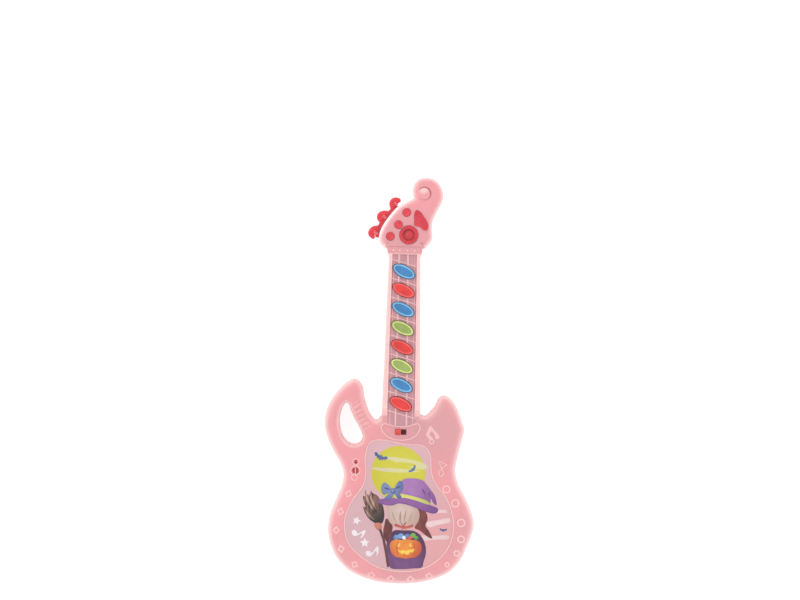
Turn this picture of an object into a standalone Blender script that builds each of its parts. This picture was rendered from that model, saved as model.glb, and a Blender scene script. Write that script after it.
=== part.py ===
"""Toy electric guitar: a two-shell sound toy with eight note keys along its neck.

The guitar lies on its back. +Z points out of the front face, +Y runs along the neck to the
headstock and X goes across. The origin is on the flat back of the body, under the body's middle.

Sizes and places below are in millimetres on a plan whose X = 0 is the neck's centreline and whose
Y = 0 is the widest line of the lower bout. Every vertex is moved by ORIGIN_Y and scaled by MM as
it is made, so the objects themselves are in metres about the origin.
"""
import math

import bmesh
import bpy
from mathutils import Matrix, Vector

MM = 0.001
MERGE = 0.000002
ORIGIN_Y = 38.0

# ---------------------------------------------------------------- shells
FRONT_Z = 26.0
PARTING_Z = 13.0
GAP = 0.3
WALL = 2.0
EDGE_RADIUS = 5.0
EDGE_STEPS = 3
CEILING_Z = 23.5
RAISED_TOP = 26.6
RAISED_FOOT = 24.2
RIM_WIDTH = 0.9

BODY_ANCHORS = [
    (0.5, -48.7), (15.0, -47.9), (30.0, -44.6), (43.5, -38.4), (53.0, -28.5), (59.3, -15.0),
    (63.2, -4.0), (64.4, 3.0), (62.5, 12.0), (57.3, 24.0), (50.8, 36.0), (47.5, 49.0),
    (49.7, 62.4), (52.8, 76.0), (54.2, 84.0), (52.0, 91.0), (48.4, 100.6), (43.2, 108.6),
    (37.0, 112.3), (32.3, 110.2), (29.6, 104.6), (25.2, 98.2), (20.2, 94.2), (16.6, 96.0),
    (13.5, 100.5), (0.0, 101.5), (-13.5, 100.5), (-16.8, 94.0), (-20.5, 90.0), (-24.0, 92.0),
    (-28.2, 99.0), (-31.6, 109.0), (-33.2, 118.0), (-36.2, 122.8), (-40.6, 124.9),
    (-46.2, 122.4), (-53.5, 115.4), (-60.0, 106.2), (-63.8, 96.0), (-64.9, 85.0),
    (-62.2, 74.5), (-56.6, 63.0), (-50.2, 52.0), (-47.7, 43.0), (-49.6, 32.0), (-53.8, 21.5),
    (-58.5, 9.0), (-59.9, -4.0), (-57.2, -17.0), (-51.0, -29.0), (-40.5, -38.8), (-28.0, -44.4),
    (-14.0, -47.8),
]
GRIP_HOLE_ANCHORS = [
    (-39.5, 68.8), (-34.6, 70.8), (-32.2, 75.8), (-34.8, 83.3), (-39.3, 90.9), (-42.8, 98.5),
    (-44.4, 103.0), (-46.4, 104.6), (-48.3, 103.2), (-51.2, 96.5), (-52.2, 89.0),
    (-50.8, 80.4), (-47.0, 72.6),
]
HOLE_EDGE_RADIUS = 4.0

NECK_START_Y = 89.0
NECK_END_Y = 232.2
NECK_BACK_Z = 6.0
RAIL_RAMP = (25.4, 102.0)
RAIL_TOP_Z = 27.6
NUT_TOP_Z = 26.8
NUT_END_Y = 240.0
NECK_HALF_START = 16.4
NECK_HALF_END = 13.5
NUT_HALF_END = 15.7
FRET_FLOOR_Z = 25.9
NECK_CEILING_Z = 24.0
RECESS_HALF_START = 11.6
RECESS_HALF_END = 10.2

HEAD_BACK_Z = 8.0
HEAD_FRONT_Z = 28.0
HEAD_CEILING_Z = 25.5
HEAD_EDGE_RADIUS = 3.0
HEAD_RIGHT_ANCHORS = [
    (-16.6, 237.0), (0.0, 237.0), (16.6, 237.0), (19.6, 240.0), (23.2, 245.8), (22.7, 253.0),
    (23.2, 260.5), (27.4, 270.0), (31.2, 278.6), (31.2, 285.4), (28.4, 292.0), (23.4, 296.2),
    (17.0, 297.5), (10.6, 296.1), (6.8, 291.8), (5.7, 286.6), (6.8, 279.6),
]
HEAD_LEFT_ANCHORS = [
    (6.8, 279.6), (-0.2, 275.9), (-6.7, 272.5), (-11.2, 267.6), (-17.0, 259.8), (-21.0, 252.2),
    (-22.4, 245.6), (-20.6, 240.6), (-16.6, 237.0),
]

# ---------------------------------------------------------------- front face details
PANEL_ANCHORS = [
    (-8.0, 73.2), (-18.5, 74.2), (-26.0, 71.6), (-29.9, 60.5), (-29.2, 45.8), (-31.0, 35.2),
    (-40.9, 20.4), (-46.3, 3.2), (-43.0, -13.9), (-32.4, -25.4), (-17.0, -34.9), (2.0, -38.1),
    (21.0, -35.6), (36.0, -26.4), (45.4, -12.0), (47.2, 6.0), (41.0, 25.2), (30.6, 38.8),
    (27.2, 49.0), (25.8, 63.0), (20.0, 69.8), (5.0, 70.7),
]
PANEL_FLOOR_Z = 25.0
LABEL_Z = (25.3, 25.8)

KIDNEY_ANCHORS = [
    (1.2, 73.4), (8.2, 74.7), (13.2, 77.6), (16.3, 82.0), (16.7, 86.2), (14.2, 88.6),
    (8.0, 86.8), (0.3, 85.7), (-8.0, 86.8), (-13.6, 88.0), (-16.7, 86.0), (-15.9, 81.4),
    (-12.0, 77.0), (-5.6, 74.1),
]
KIDNEY_FLOOR_Z = 25.5
SWITCH_CENTRE = (0.2, 80.8)
SWITCH_WINDOW = (9.6, 4.8)

BORDER_RINGS = [(39.8, 33.0, 3.9), (47.9, 21.2, 3.8), (53.4, 4.8, 3.7), (53.6, -9.2, 3.4),
                (50.2, -21.2, 2.9), (42.3, -31.0, 2.4)]
BORDER_DIAMONDS = [(27.3, -41.0), (11.4, -44.0), (-5.4, -44.0), (-21.8, -41.2), (-36.4, -32.7),
                   (-48.1, -19.8), (-52.6, -3.9), (-49.4, 12.0), (-43.0, 27.2)]
DIAMOND_HALF = 3.0
RELIEF_WIDTH = 0.8

CLEF_TOP = (-37.3, 54.5, 3.1, 1.3)
CLEF_MIDDLE = (-37.6, 47.2, 4.4, 2.7)
CLEF_FOOT = (-38.3, 41.6, 2.6, 1.4)
CLEF_BAR_WIDTH = 1.0
BEAM_NOTE = [(22.4, 78.4), (25.4, 86.0), (33.0, 78.8), (31.8, 76.0), (29.4, 76.8), (26.8, 72.6),
             (24.6, 74.0), (25.6, 77.4)]
FLAG_NOTE = [(33.6, 56.9), (40.2, 53.2), (36.6, 51.6), (37.5, 47.0), (35.5, 43.6), (33.2, 46.0),
             (34.4, 50.4)]

FLUTE_COUNT = 6
FLUTE_FIRST = ((-42.3, 101.0), (-33.4, 107.2))
FLUTE_LAST = ((-32.4, 83.0), (-23.2, 88.6))
FLUTE_RADIUS = 1.6
FLUTE_DEPTH = 0.7

# ---------------------------------------------------------------- keys and fretboard
KEY_COUNT = 8
KEY_FIRST_Y = 217.3
KEY_PITCH = 16.09
KEY_X = -0.3
KEY_TILT = math.radians(-25.0)
KEY_HOLE = (20.6, 10.8)
KEY_TOP = (19.6, 9.8)
KEY_FLANGE = (22.4, 12.4)
KEY_SEGMENTS = 24
KEY_TOP_Z = 28.8
KEY_FLANGE_Z = (22.4, 23.7)
KEY_CHAMFER = 0.8
KEY_COLOURS = ["blue", "red", "blue", "green", "red", "green", "blue", "red"]
DOME_RADII = (4.4, 2.2)
FRET_TILT = math.radians(-15.5)
FRET_FIRST_Y = 224.7
FRET_COUNT = 9
FRET_SIZE = (25.4, 1.0)
RIB_TOP_Z = 26.4
STRINGS = [(-9.4, -9.0, 0.9), (-4.6, -4.6, 1.4), (4.9, 2.8, 1.4), (10.0, 8.8, 0.9)]
NUT_DOTS = [(-9.7, 235.2), (-4.3, 235.2), (2.3, 235.2), (8.5, 235.2)]
NUT_DOT_RADIUS = 0.8

# ---------------------------------------------------------------- electronics
BOARD_THICKNESS = 1.6
KEY_BOARD_Z = (17.6, 19.2)
KEY_BOARD_Y = (92.0, 231.0)
KEY_BOARD_WIDTH = 20.4
MAIN_BOARD_Z = (17.0, 18.6)
MAIN_BOARD = (-15.0, 15.0, 60.0, 90.0)
BOARD_SCREWS = [(-12.0, 64.0, 17.0, CEILING_Z), (12.0, 64.0, 17.0, CEILING_Z),
                (0.0, 94.0, 17.6, NECK_CEILING_Z), (0.0, 228.2, 17.6, NECK_CEILING_Z)]
SWITCH_TRAVEL = 4.4
SWITCH_PLATE_Z = (22.4, 23.2)
SPEAKER_CENTRE = (-29.5, 46.5)
SPEAKER_RADIUS = 14.0
SPEAKER_RING_SIZE = (31.2, 31.2)
SPEAKER_RING_WALL = 1.1
SPEAKER_RING_Z = 19.5

# ---------------------------------------------------------------- battery bay
BAY_X = 15.3
BAY_Y = (-37.5, 21.0)
BAY_TOP_Z = 17.6
BAY_WALL = 1.2
CELL_RADIUS = 7.2
CELL_X = 7.6
CELL_Z = 9.85
CELL_LENGTH = 49.2
BUTTON = (2.6, 1.2)            # radius and height of a cell's raised end
CELL_CENTRE_Y = -6.8
DOOR_X = 15.0
DOOR_Y = (-33.7, 19.7)
DOOR_THICKNESS = 1.7
DOOR_LUG = (4.5, 28.9, 3.2)
DOOR_SCREW_Y = 24.4
DOOR_TABS = [(-14.8, -12.8), (-1.4, 1.4), (12.8, 14.8)]
DOOR_TAB_TOP_Z = 3.3
DOOR_GRIPS = 5
DOOR_GRIP_Y = 8.0
DOOR_GRIP_PITCH = 1.8

# ---------------------------------------------------------------- screws
SHELL_SCREWS = [(-43.0, -20.0, 8.0), (44.0, -20.0, 8.0), (-43.0, 17.0, 8.0), (43.0, 17.0, 8.0),
                (35.0, 60.0, 8.0), (-42.6, 114.0, 8.0), (37.4, 99.0, 8.0), (14.0, 272.0, 10.4)]
SCREW_HEAD = (2.6, 1.6)
SHELL_SCREW_LENGTH = 10.0
BOARD_SCREW_LENGTH = 5.0
HEAD_SEAT_Z = 9.0              # a shell screw that seats above this is in the headstock
BOSS_RADIUS = 3.5
PILOT_RADIUS = 1.4
PILOT_TOP_Z = 20.5
POST_RADIUS = 4.6
WELL_RADIUS = 3.0
SHANK_RADIUS = 1.5
BOARD_BOSS = (2.2, 1.2)        # outer radius and pilot radius
SCREW_SHAFT = 1.05
SCREW_SIDES = 8

# ---------------------------------------------------------------- red headstock trim
STUDS = [(-12.6, 246.9), (-5.9, 256.9), (0.9, 267.5)]
STUD_RADIUS = 3.4
ROSETTE = (3.1, 248.4, 7.9)
FIN_ANCHORS = [(8.0, 256.8), (12.2, 255.6), (15.6, 253.0), (17.8, 252.6), (19.4, 255.6),
               (18.3, 259.8), (15.0, 264.6), (11.8, 268.6), (9.2, 269.4), (7.6, 266.6),
               (7.6, 261.5)]
FIN_STEM = (12.0, 260.5)
TRIM_FLOOR_Z = 26.6
PLATE_Z = (13.5, 16.0)
PEG_Z = (11.5, 17.5)
PEGS = [(-9.1, 275.4), (-18.9, 263.9), (-26.6, 249.9)]
PEG_RADIUS = 5.2
PEG_SHAFT_RADIUS = 1.5
STRIP_OUTER = [(-25.6, 246.4), (-25.2, 251.4), (-22.8, 257.6), (-18.6, 263.9), (-13.4, 270.4),
               (-7.2, 276.0)]
PLATE_INNER = [(-3.0, 275.8), (3.6, 270.4), (3.6, 264.6), (-2.6, 254.4), (-9.4, 243.6),
               (-15.0, 243.6)]
SCROLL_GROOVE = [(7.4, 279.8), (9.6, 278.4), (13.4, 277.6), (17.6, 278.8), (20.5, 281.9),
                 (21.2, 285.6), (19.4, 288.9), (15.8, 289.6), (12.4, 288.6), (10.6, 286.4)]


# ================================================================ helpers
def clear_scene():
    """Removes every object, so that the file holds only this part."""
    for obj in list(bpy.data.objects):
        bpy.data.objects.remove(obj, do_unlink=True)


def material(name, colour, roughness=0.35, metallic=0.0, transmission=0.0):
    """A Principled material with the piece's colour."""
    mat = bpy.data.materials.get(name) or bpy.data.materials.new(name)
    mat.use_nodes = True
    shader = mat.node_tree.nodes["Principled BSDF"]
    shader.inputs["Base Color"].default_value = (*colour, 1.0)
    shader.inputs["Roughness"].default_value = roughness
    shader.inputs["Metallic"].default_value = metallic
    shader.inputs["Transmission Weight"].default_value = transmission
    mat.diffuse_color = (*colour, 1.0)
    return mat


def smooth_path(anchors, per_span=2, closed=True):
    """Points of a centripetal Catmull-Rom curve through the anchors."""
    points = [Vector(a) for a in anchors]
    count = len(points)
    spans = count if closed else count - 1
    path = []
    for i in range(spans):
        if closed:
            p0, p1, p2, p3 = (points[(i + k) % count] for k in (-1, 0, 1, 2))
        else:
            p1, p2 = points[i], points[i + 1]
            p0 = points[i - 1] if i > 0 else 2 * p1 - p2
            p3 = points[i + 2] if i + 2 < count else 2 * p2 - p1
        t1 = (p1 - p0).length ** 0.5
        t2 = t1 + (p2 - p1).length ** 0.5
        t3 = t2 + (p3 - p2).length ** 0.5
        for k in range(per_span):
            t = t1 + (t2 - t1) * k / per_span
            a1 = p0.lerp(p1, t / t1)
            a2 = p1.lerp(p2, (t - t1) / (t2 - t1))
            a3 = p2.lerp(p3, (t - t2) / (t3 - t2))
            b1 = a1.lerp(a2, t / t2)
            b2 = a2.lerp(a3, (t - t1) / (t3 - t1))
            path.append(b1.lerp(b2, (t - t1) / (t2 - t1)))
    if not closed:
        path.append(points[-1])
    return path


def offset_loop(loop, distance):
    """Moves a counter-clockwise loop inward by distance, or outward when it is negative."""
    count = len(loop)
    moved = []
    for i, point in enumerate(loop):
        before = (point - loop[i - 1]).normalized()
        after = (loop[(i + 1) % count] - point).normalized()
        n1 = Vector((-before.y, before.x))
        n2 = Vector((-after.y, after.x))
        mitre = (n1 + n2) / max(1.0 + n1.dot(n2), 0.7)
        moved.append(point + mitre * distance)
    return moved


def ellipse(centre, size, segments, tilt=0.0):
    """A counter-clockwise oval with full axes size, its long axis turned by tilt."""
    turn = Matrix.Rotation(tilt, 2)
    loop = []
    for k in range(segments):
        angle = 2 * math.pi * k / segments
        local = Vector((0.5 * size[0] * math.cos(angle), 0.5 * size[1] * math.sin(angle)))
        loop.append(Vector(centre) + turn @ local)
    return loop


def rectangle(centre, size, tilt=0.0):
    """A counter-clockwise rectangle."""
    turn = Matrix.Rotation(tilt, 2)
    half_x, half_y = 0.5 * size[0], 0.5 * size[1]
    corners = ((-half_x, -half_y), (half_x, -half_y), (half_x, half_y), (-half_x, half_y))
    return [Vector(centre) + turn @ Vector(c) for c in corners]


def box_loop(x0, x1, y0, y1):
    """A rectangle given by its limits."""
    return rectangle(((x0 + x1) / 2, (y0 + y1) / 2), (x1 - x0, y1 - y0))


def new_object(name, bm, mat=None):
    """Turns a bmesh in plan millimetres into an object in metres about the origin."""
    bmesh.ops.recalc_face_normals(bm, faces=bm.faces)
    bmesh.ops.translate(bm, vec=(0, -ORIGIN_Y, 0), verts=bm.verts)
    bmesh.ops.scale(bm, vec=(MM, MM, MM), verts=bm.verts)
    mesh = bpy.data.meshes.new(name)
    bm.to_mesh(mesh)
    bm.free()
    obj = bpy.data.objects.new(name, mesh)
    bpy.context.scene.collection.objects.link(obj)
    if mat:
        mesh.materials.append(mat)
    return obj


def loft(name, rings, mat=None):
    """Joins rings of equal length with quads and closes both ends."""
    bm = bmesh.new()
    rows = [[bm.verts.new(p) for p in ring] for ring in rings]
    count = len(rings[0])
    for low, high in zip(rows, rows[1:]):
        for i in range(count):
            j = (i + 1) % count
            bm.faces.new((low[i], low[j], high[j], high[i]))
    bm.faces.new(rows[0])
    bm.faces.new(rows[-1])
    return new_object(name, bm, mat)


def prism(name, loop, low, high, mat=None):
    """A plan outline extruded from low to high."""
    return loft(name, [[(p[0], p[1], z) for p in loop] for z in (low, high)], mat)


def pillow(name, loop, low, high, low_radius, high_radius, steps=2, mat=None):
    """A plan outline extruded from low to high with rounded lower and upper edges."""
    rings = []
    for k in range(steps + 1):
        angle = 0.5 * math.pi * k / steps
        inset = offset_loop(loop, low_radius * (1 - math.sin(angle)))
        z = low + low_radius * (1 - math.cos(angle))
        rings.append([(p.x, p.y, z) for p in inset])
    for k in range(steps + 1):
        angle = 0.5 * math.pi * k / steps
        inset = offset_loop(loop, high_radius * (1 - math.cos(angle)))
        z = high - high_radius * (1 - math.sin(angle))
        rings.append([(p.x, p.y, z) for p in inset])
    return loft(name, rings, mat)


def turned(name, centre, profile, segments, mat=None):
    """A solid turned about a vertical line: profile lists (radius, z) from foot to top."""
    rings = []
    for radius, z in profile:
        loop = ellipse(centre, (2 * radius, 2 * radius), segments)
        rings.append([(p.x, p.y, z) for p in loop])
    return loft(name, rings, mat)


def turned_along_y(name, x, z, profile, segments, mat=None):
    """A solid turned about a line along Y: profile lists (radius, y)."""
    rings = []
    for radius, y in profile:
        ring = []
        for k in range(segments):
            angle = 2 * math.pi * k / segments
            ring.append((x + radius * math.cos(angle), y, z + radius * math.sin(angle)))
        rings.append(ring)
    return loft(name, rings, mat)


def combine(target, tool, operation):
    """Applies one exact Boolean to target and removes the tool."""
    modifier = target.modifiers.new("cut", "BOOLEAN")
    modifier.operation = operation
    modifier.solver = "EXACT"
    modifier.object = tool
    depsgraph = bpy.context.evaluated_depsgraph_get()
    result = bpy.data.meshes.new_from_object(target.evaluated_get(depsgraph))
    target.modifiers.clear()
    old = target.data
    target.data = result
    result.name = target.name
    bpy.data.meshes.remove(old)
    bpy.data.objects.remove(tool, do_unlink=True)
    return target


def add(target, tool):
    """Fuses tool into target."""
    return combine(target, tool, "UNION")


def cut(target, tool):
    """Cuts tool out of target."""
    return combine(target, tool, "DIFFERENCE")


def finish(obj, angle_deg=35):
    """Merges coincident corners left by the Booleans and shades the piece smooth."""
    bm = bmesh.new()
    bm.from_mesh(obj.data)
    bmesh.ops.remove_doubles(bm, verts=bm.verts, dist=MERGE)
    bm.to_mesh(obj.data)
    bm.free()
    obj.data.shade_smooth()
    obj.data.set_sharp_from_angle(angle=math.radians(angle_deg))
    return obj


def ring_tool(name, loop, width, low, high):
    """A raised outline: the loop's prism without its inside."""
    outer = prism(name, loop, low, high)
    return cut(outer, prism("inside", offset_loop(loop, width), low - 1, high + 1))


def set_origin(obj, point):
    """Moves an object's origin to a plan point, leaving the shape in place."""
    shift = (Vector(point) - Vector((0, ORIGIN_Y, 0))) * MM
    obj.data.transform(Matrix.Translation(-shift))
    obj.location = shift


# ================================================================ outlines
def head_loop(per_span=2):
    """The headstock's outline, with its sharp notch under the scroll."""
    right = smooth_path(HEAD_RIGHT_ANCHORS[2:], per_span, closed=False)
    left = smooth_path(HEAD_LEFT_ANCHORS, per_span, closed=False)
    return right[:-1] + left[:-1] + [Vector(p) for p in HEAD_RIGHT_ANCHORS[:2]]


def neck_section(half_width, back, top, chamfer):
    """The neck's cross-section as (x, z): flat sides, a rounded back and chamfered rails."""
    shoulder = back + 8.0
    section = [(-half_width + chamfer, top), (-half_width, top - chamfer)]
    steps = 10
    for k in range(steps + 1):
        angle = math.pi * k / steps
        x = -half_width * math.cos(angle)
        section.append((x, shoulder - (shoulder - back) * math.sin(angle) ** 0.7))
    section += [(half_width, top - chamfer), (half_width - chamfer, top)]
    return section


def neck_loft(name, stations, chamfer):
    """A neck solid through stations of (y, half width, back z, top z)."""
    rings = []
    for y, half_width, back, top in stations:
        rings.append([(x, y, z) for x, z in neck_section(half_width, back, top, chamfer)])
    return loft(name, rings)


def neck_half(y):
    """Half the neck's width at y."""
    t = (y - NECK_START_Y) / (NECK_END_Y - NECK_START_Y)
    return NECK_HALF_START + (NECK_HALF_END - NECK_HALF_START) * t


def key_centre(index):
    """Plan position of a key's centre."""
    return (KEY_X, KEY_FIRST_Y - index * KEY_PITCH)


# ================================================================ shells
def outer_solid():
    """The whole guitar as one solid: body, neck, nut block and headstock, with the grip hole."""
    body_loop = smooth_path(BODY_ANCHORS)
    whole = pillow("outer", body_loop, 0.0, FRONT_Z, EDGE_RADIUS, EDGE_RADIUS, EDGE_STEPS)
    ramp_foot_z, ramp_end_y = RAIL_RAMP
    add(whole, neck_loft("neck", [
        (NECK_START_Y, NECK_HALF_START, NECK_BACK_Z, ramp_foot_z),
        (ramp_end_y, neck_half(ramp_end_y), NECK_BACK_Z, RAIL_TOP_Z),
        (NECK_END_Y, NECK_HALF_END, NECK_BACK_Z, RAIL_TOP_Z)], 0.9))
    add(whole, neck_loft("nut", [
        (NECK_END_Y - 4, NECK_HALF_END - 0.4, NECK_BACK_Z + 0.3, NUT_TOP_Z),
        (NECK_END_Y + 0.6, NECK_HALF_END + 1.1, NECK_BACK_Z + 0.5, NUT_TOP_Z),
        (NUT_END_Y, NUT_HALF_END, NECK_BACK_Z + 2.6, NUT_TOP_Z)], 0.6))
    add(whole, pillow("head", head_loop(), HEAD_BACK_Z, HEAD_FRONT_Z,
                      HEAD_EDGE_RADIUS, HEAD_EDGE_RADIUS))
    hole_loop = smooth_path(GRIP_HOLE_ANCHORS)
    rings = []
    for k in range(EDGE_STEPS + 1):
        angle = 0.5 * math.pi * k / EDGE_STEPS
        flare = offset_loop(hole_loop, -HOLE_EDGE_RADIUS * (1 - math.sin(angle)))
        rings.append([(p.x, p.y, HOLE_EDGE_RADIUS * (1 - math.cos(angle))) for p in flare])
    for ring in list(reversed(rings)):
        rings.append([(x, y, FRONT_Z - z) for x, y, z in ring])
    rings.insert(0, [(x, y, -1.0) for x, y, z in rings[0]])
    rings.append([(x, y, FRONT_Z + 1.0) for x, y, z in rings[-1]])
    return cut(whole, loft("hole", rings))


def inner_solid():
    """The hollow inside both shells."""
    inner_radius = 1.5
    body_loop = smooth_path(BODY_ANCHORS, per_span=1)
    inside = pillow("inside", offset_loop(body_loop, WALL), WALL, CEILING_Z,
                    inner_radius, inner_radius, steps=1)
    hole_loop = smooth_path(GRIP_HOLE_ANCHORS, per_span=1)
    cut(inside, prism("hole_wall", offset_loop(hole_loop, -WALL), -1, FRONT_Z + 1))
    back = NECK_BACK_Z + WALL
    add(inside, neck_loft("neck_inside", [
        (NECK_START_Y - 3, neck_half(NECK_START_Y - 3) - WALL, back, NECK_CEILING_Z),
        (NECK_END_Y - 3, NECK_HALF_END - WALL, back, NECK_CEILING_Z),
        (NUT_END_Y + 2, NUT_HALF_END - WALL - 1.2, back + 2.8, NECK_CEILING_Z)], 0.3))
    head_wall = WALL + 0.2
    add(inside, pillow("head_inside", offset_loop(head_loop(1), head_wall), HEAD_BACK_Z + WALL,
                       HEAD_CEILING_Z, 1.0, 1.0, steps=1))
    return inside


def add_front_pads(shell):
    """Adds the raised pads that the label recess, the switch plate and the clef are cut from."""
    add(shell, prism("panel_pad", smooth_path(PANEL_ANCHORS), RAISED_FOOT, RAISED_TOP))
    add(shell, prism("kidney_pad", smooth_path(KIDNEY_ANCHORS), RAISED_FOOT, RAISED_TOP))
    for x, y, outer, inner in (CLEF_TOP, CLEF_MIDDLE, CLEF_FOOT):
        add(shell, turned("clef", (x, y), [(outer, RAISED_FOOT), (outer, RAISED_TOP)], 14))


def cut_front_recesses(shell):
    """Cuts the label recess, the switch plate, the fretboard recess and the flutes."""
    panel = offset_loop(smooth_path(PANEL_ANCHORS), RIM_WIDTH)
    cut(shell, prism("panel_cut", panel, PANEL_FLOOR_Z, FRONT_Z + 5))
    kidney = offset_loop(smooth_path(KIDNEY_ANCHORS), RIM_WIDTH)
    cut(shell, prism("kidney_cut", kidney, KIDNEY_FLOOR_Z, FRONT_Z + 5))
    recess = [(-RECESS_HALF_START, NECK_START_Y - 0.4), (RECESS_HALF_START, NECK_START_Y - 0.4),
              (RECESS_HALF_END, NECK_END_Y - GAP), (-RECESS_HALF_END, NECK_END_Y - GAP)]
    cut(shell, prism("fret_cut", recess, FRET_FLOOR_Z, FRONT_Z + 5))
    for k in range(FLUTE_COUNT):
        t = k / (FLUTE_COUNT - 1)
        start = Vector(FLUTE_FIRST[0]).lerp(Vector(FLUTE_LAST[0]), t)
        end = Vector(FLUTE_FIRST[1]).lerp(Vector(FLUTE_LAST[1]), t)
        side = (end - start).orthogonal().normalized() * FLUTE_RADIUS
        height = FRONT_Z - FLUTE_DEPTH
        rings = []
        for p in (start, end):
            low = (p.x, p.y, height)
            left = (p.x - side.x, p.y - side.y, FRONT_Z + 0.4)
            right = (p.x + side.x, p.y + side.y, FRONT_Z + 0.4)
            rings.append([low, right, left])
        cut(shell, loft("flute", rings))


def add_front_relief(shell):
    """Adds the raised rings, diamonds, notes, frets and string ribs."""
    for x, y, radius in BORDER_RINGS:
        loop = ellipse((x, y), (2 * radius, 2 * radius), 16)
        add(shell, ring_tool("ring", loop, RELIEF_WIDTH, RAISED_FOOT, FRONT_Z + 0.5))
    for x, y in BORDER_DIAMONDS:
        loop = [Vector((x + DIAMOND_HALF * dx, y + DIAMOND_HALF * dy))
                for dx, dy in ((1, 0), (0, 1), (-1, 0), (0, -1))]
        add(shell, ring_tool("diamond", loop, RELIEF_WIDTH, RAISED_FOOT, FRONT_Z + 0.5))
    for outline in (BEAM_NOTE, FLAG_NOTE):
        loop = [Vector(p) for p in reversed(outline)]
        add(shell, prism("note", loop, RAISED_FOOT, FRONT_Z + 0.5))
    length = NECK_END_Y - NECK_START_Y
    for x0, x1, width in STRINGS:
        tilt = math.atan2(x0 - x1, length)
        middle = ((x0 + x1) / 2, (NECK_START_Y + NECK_END_Y) / 2)
        rib = rectangle(middle, (width, length + 0.4), tilt)
        add(shell, prism("string", rib, NECK_CEILING_Z + 0.6, RIB_TOP_Z))
    for k in range(FRET_COUNT):
        bar = rectangle((KEY_X, FRET_FIRST_Y - k * KEY_PITCH), FRET_SIZE, FRET_TILT)
        add(shell, prism("fret", bar, NECK_CEILING_Z + 0.5, RIB_TOP_Z + 0.1))
    for centre in NUT_DOTS:
        profile = [(NUT_DOT_RADIUS, NECK_CEILING_Z + 0.7), (NUT_DOT_RADIUS, NUT_TOP_Z + 0.5)]
        add(shell, turned("nut_dot", centre, profile, 8))


def cut_front_openings(shell):
    """Cuts the key holes, the switch window, the sound holes and the headstock's seats."""
    for k in range(KEY_COUNT):
        loop = ellipse(key_centre(k), KEY_HOLE, KEY_SEGMENTS, KEY_TILT)
        cut(shell, prism("key_hole", loop, NECK_CEILING_Z - 2, FRONT_Z + 5))
    cut(shell, prism("window", rectangle(SWITCH_CENTRE, SWITCH_WINDOW), CEILING_Z - 2,
                     FRONT_Z + 5))
    for x, y, outer, inner in (CLEF_TOP, CLEF_MIDDLE):
        cut(shell, turned("sound_hole", (x, y), [(inner, CEILING_Z - 2), (inner, FRONT_Z + 5)],
                          12))
    x, y, outer, inner = CLEF_FOOT
    cut(shell, turned("clef_eye", (x, y), [(inner, FRONT_Z), (inner, FRONT_Z + 5)], 10))
    x, y, outer, inner = CLEF_MIDDLE
    bar = rectangle((x, y), (CLEF_BAR_WIDTH, 2 * inner + 0.8))
    add(shell, prism("clef_bar", bar, CEILING_Z + 0.4, RAISED_TOP - 0.2))
    for x, y in STUDS:
        hole = STUD_RADIUS + GAP
        cut(shell, turned("stud_hole", (x, y), [(hole, HEAD_CEILING_Z - 2),
                                                (hole, HEAD_FRONT_Z + 5)], 14))
    x, y, radius = ROSETTE
    seat = radius + GAP
    cut(shell, turned("rosette_seat", (x, y), [(2.6, HEAD_CEILING_Z - 2), (2.6, TRIM_FLOOR_Z),
                                               (seat, TRIM_FLOOR_Z + 0.001),
                                               (seat, HEAD_FRONT_Z + 5)], 20))
    fin = offset_loop(smooth_path(FIN_ANCHORS), -GAP)
    cut(shell, prism("fin_seat", fin, TRIM_FLOOR_Z, HEAD_FRONT_Z + 5))
    cut(shell, turned("fin_stem_hole", FIN_STEM, [(1.9, HEAD_CEILING_Z - 2),
                                                  (1.9, TRIM_FLOOR_Z + 1)], 8))
    groove = smooth_path(SCROLL_GROOVE, per_span=1, closed=False)
    left = offset_path(groove, 0.6)
    right = offset_path(groove, -0.6)
    cut(shell, prism("scroll", right + left[::-1], HEAD_FRONT_Z - 0.6, HEAD_FRONT_Z + 5))
    cut(shell, prism("plate_notch", offset_loop(plate_loop(), -GAP), PARTING_Z - 1,
                     PLATE_Z[1] + GAP))


def offset_path(path, distance):
    """Moves an open path sideways, to its left for a positive distance."""
    moved = []
    for i, point in enumerate(path):
        before = path[max(i - 1, 0)]
        after = path[min(i + 1, len(path) - 1)]
        along = (after - before).normalized()
        moved.append(point + Vector((-along.y, along.x)) * distance)
    return moved


def plate_loop():
    """The red trim's carrier plate: a strip outside the headstock's edge and a tab inside."""
    outer = smooth_path(STRIP_OUTER, closed=False)
    inner = [Vector(p) for p in PLATE_INNER]
    return list(reversed(outer + inner))


def add_front_bosses(shell):
    """Screw bosses that hang from the front wall, and the speaker's retaining ring."""
    for x, y, seat in SHELL_SCREWS:
        top = HEAD_CEILING_Z if seat > HEAD_SEAT_Z else CEILING_Z
        foot = PARTING_Z + GAP / 2
        add(shell, turned("boss", (x, y), [(BOSS_RADIUS, foot), (BOSS_RADIUS, top + 0.6)], 10))
        cut(shell, turned("pilot", (x, y), [(PILOT_RADIUS, foot - 1),
                                            (PILOT_RADIUS, PILOT_TOP_Z)], 8))
    boss, pilot = BOARD_BOSS
    for x, y, board_z, top in BOARD_SCREWS:
        foot = board_z + BOARD_THICKNESS + GAP
        add(shell, turned("boss", (x, y), [(boss, foot), (boss, top + 0.6)], 8))
        cut(shell, turned("pilot", (x, y), [(pilot, foot - 1), (pilot, top - 0.6)], 6))
    loop = ellipse(SPEAKER_CENTRE, SPEAKER_RING_SIZE, 20)
    add(shell, ring_tool("speaker_ring", loop, SPEAKER_RING_WALL, SPEAKER_RING_Z,
                         CEILING_Z + 0.6))


def duplicate(obj):
    """A second object with its own copy of the mesh."""
    twin = obj.copy()
    twin.data = obj.data.copy()
    bpy.context.scene.collection.objects.link(twin)
    return twin


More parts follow.
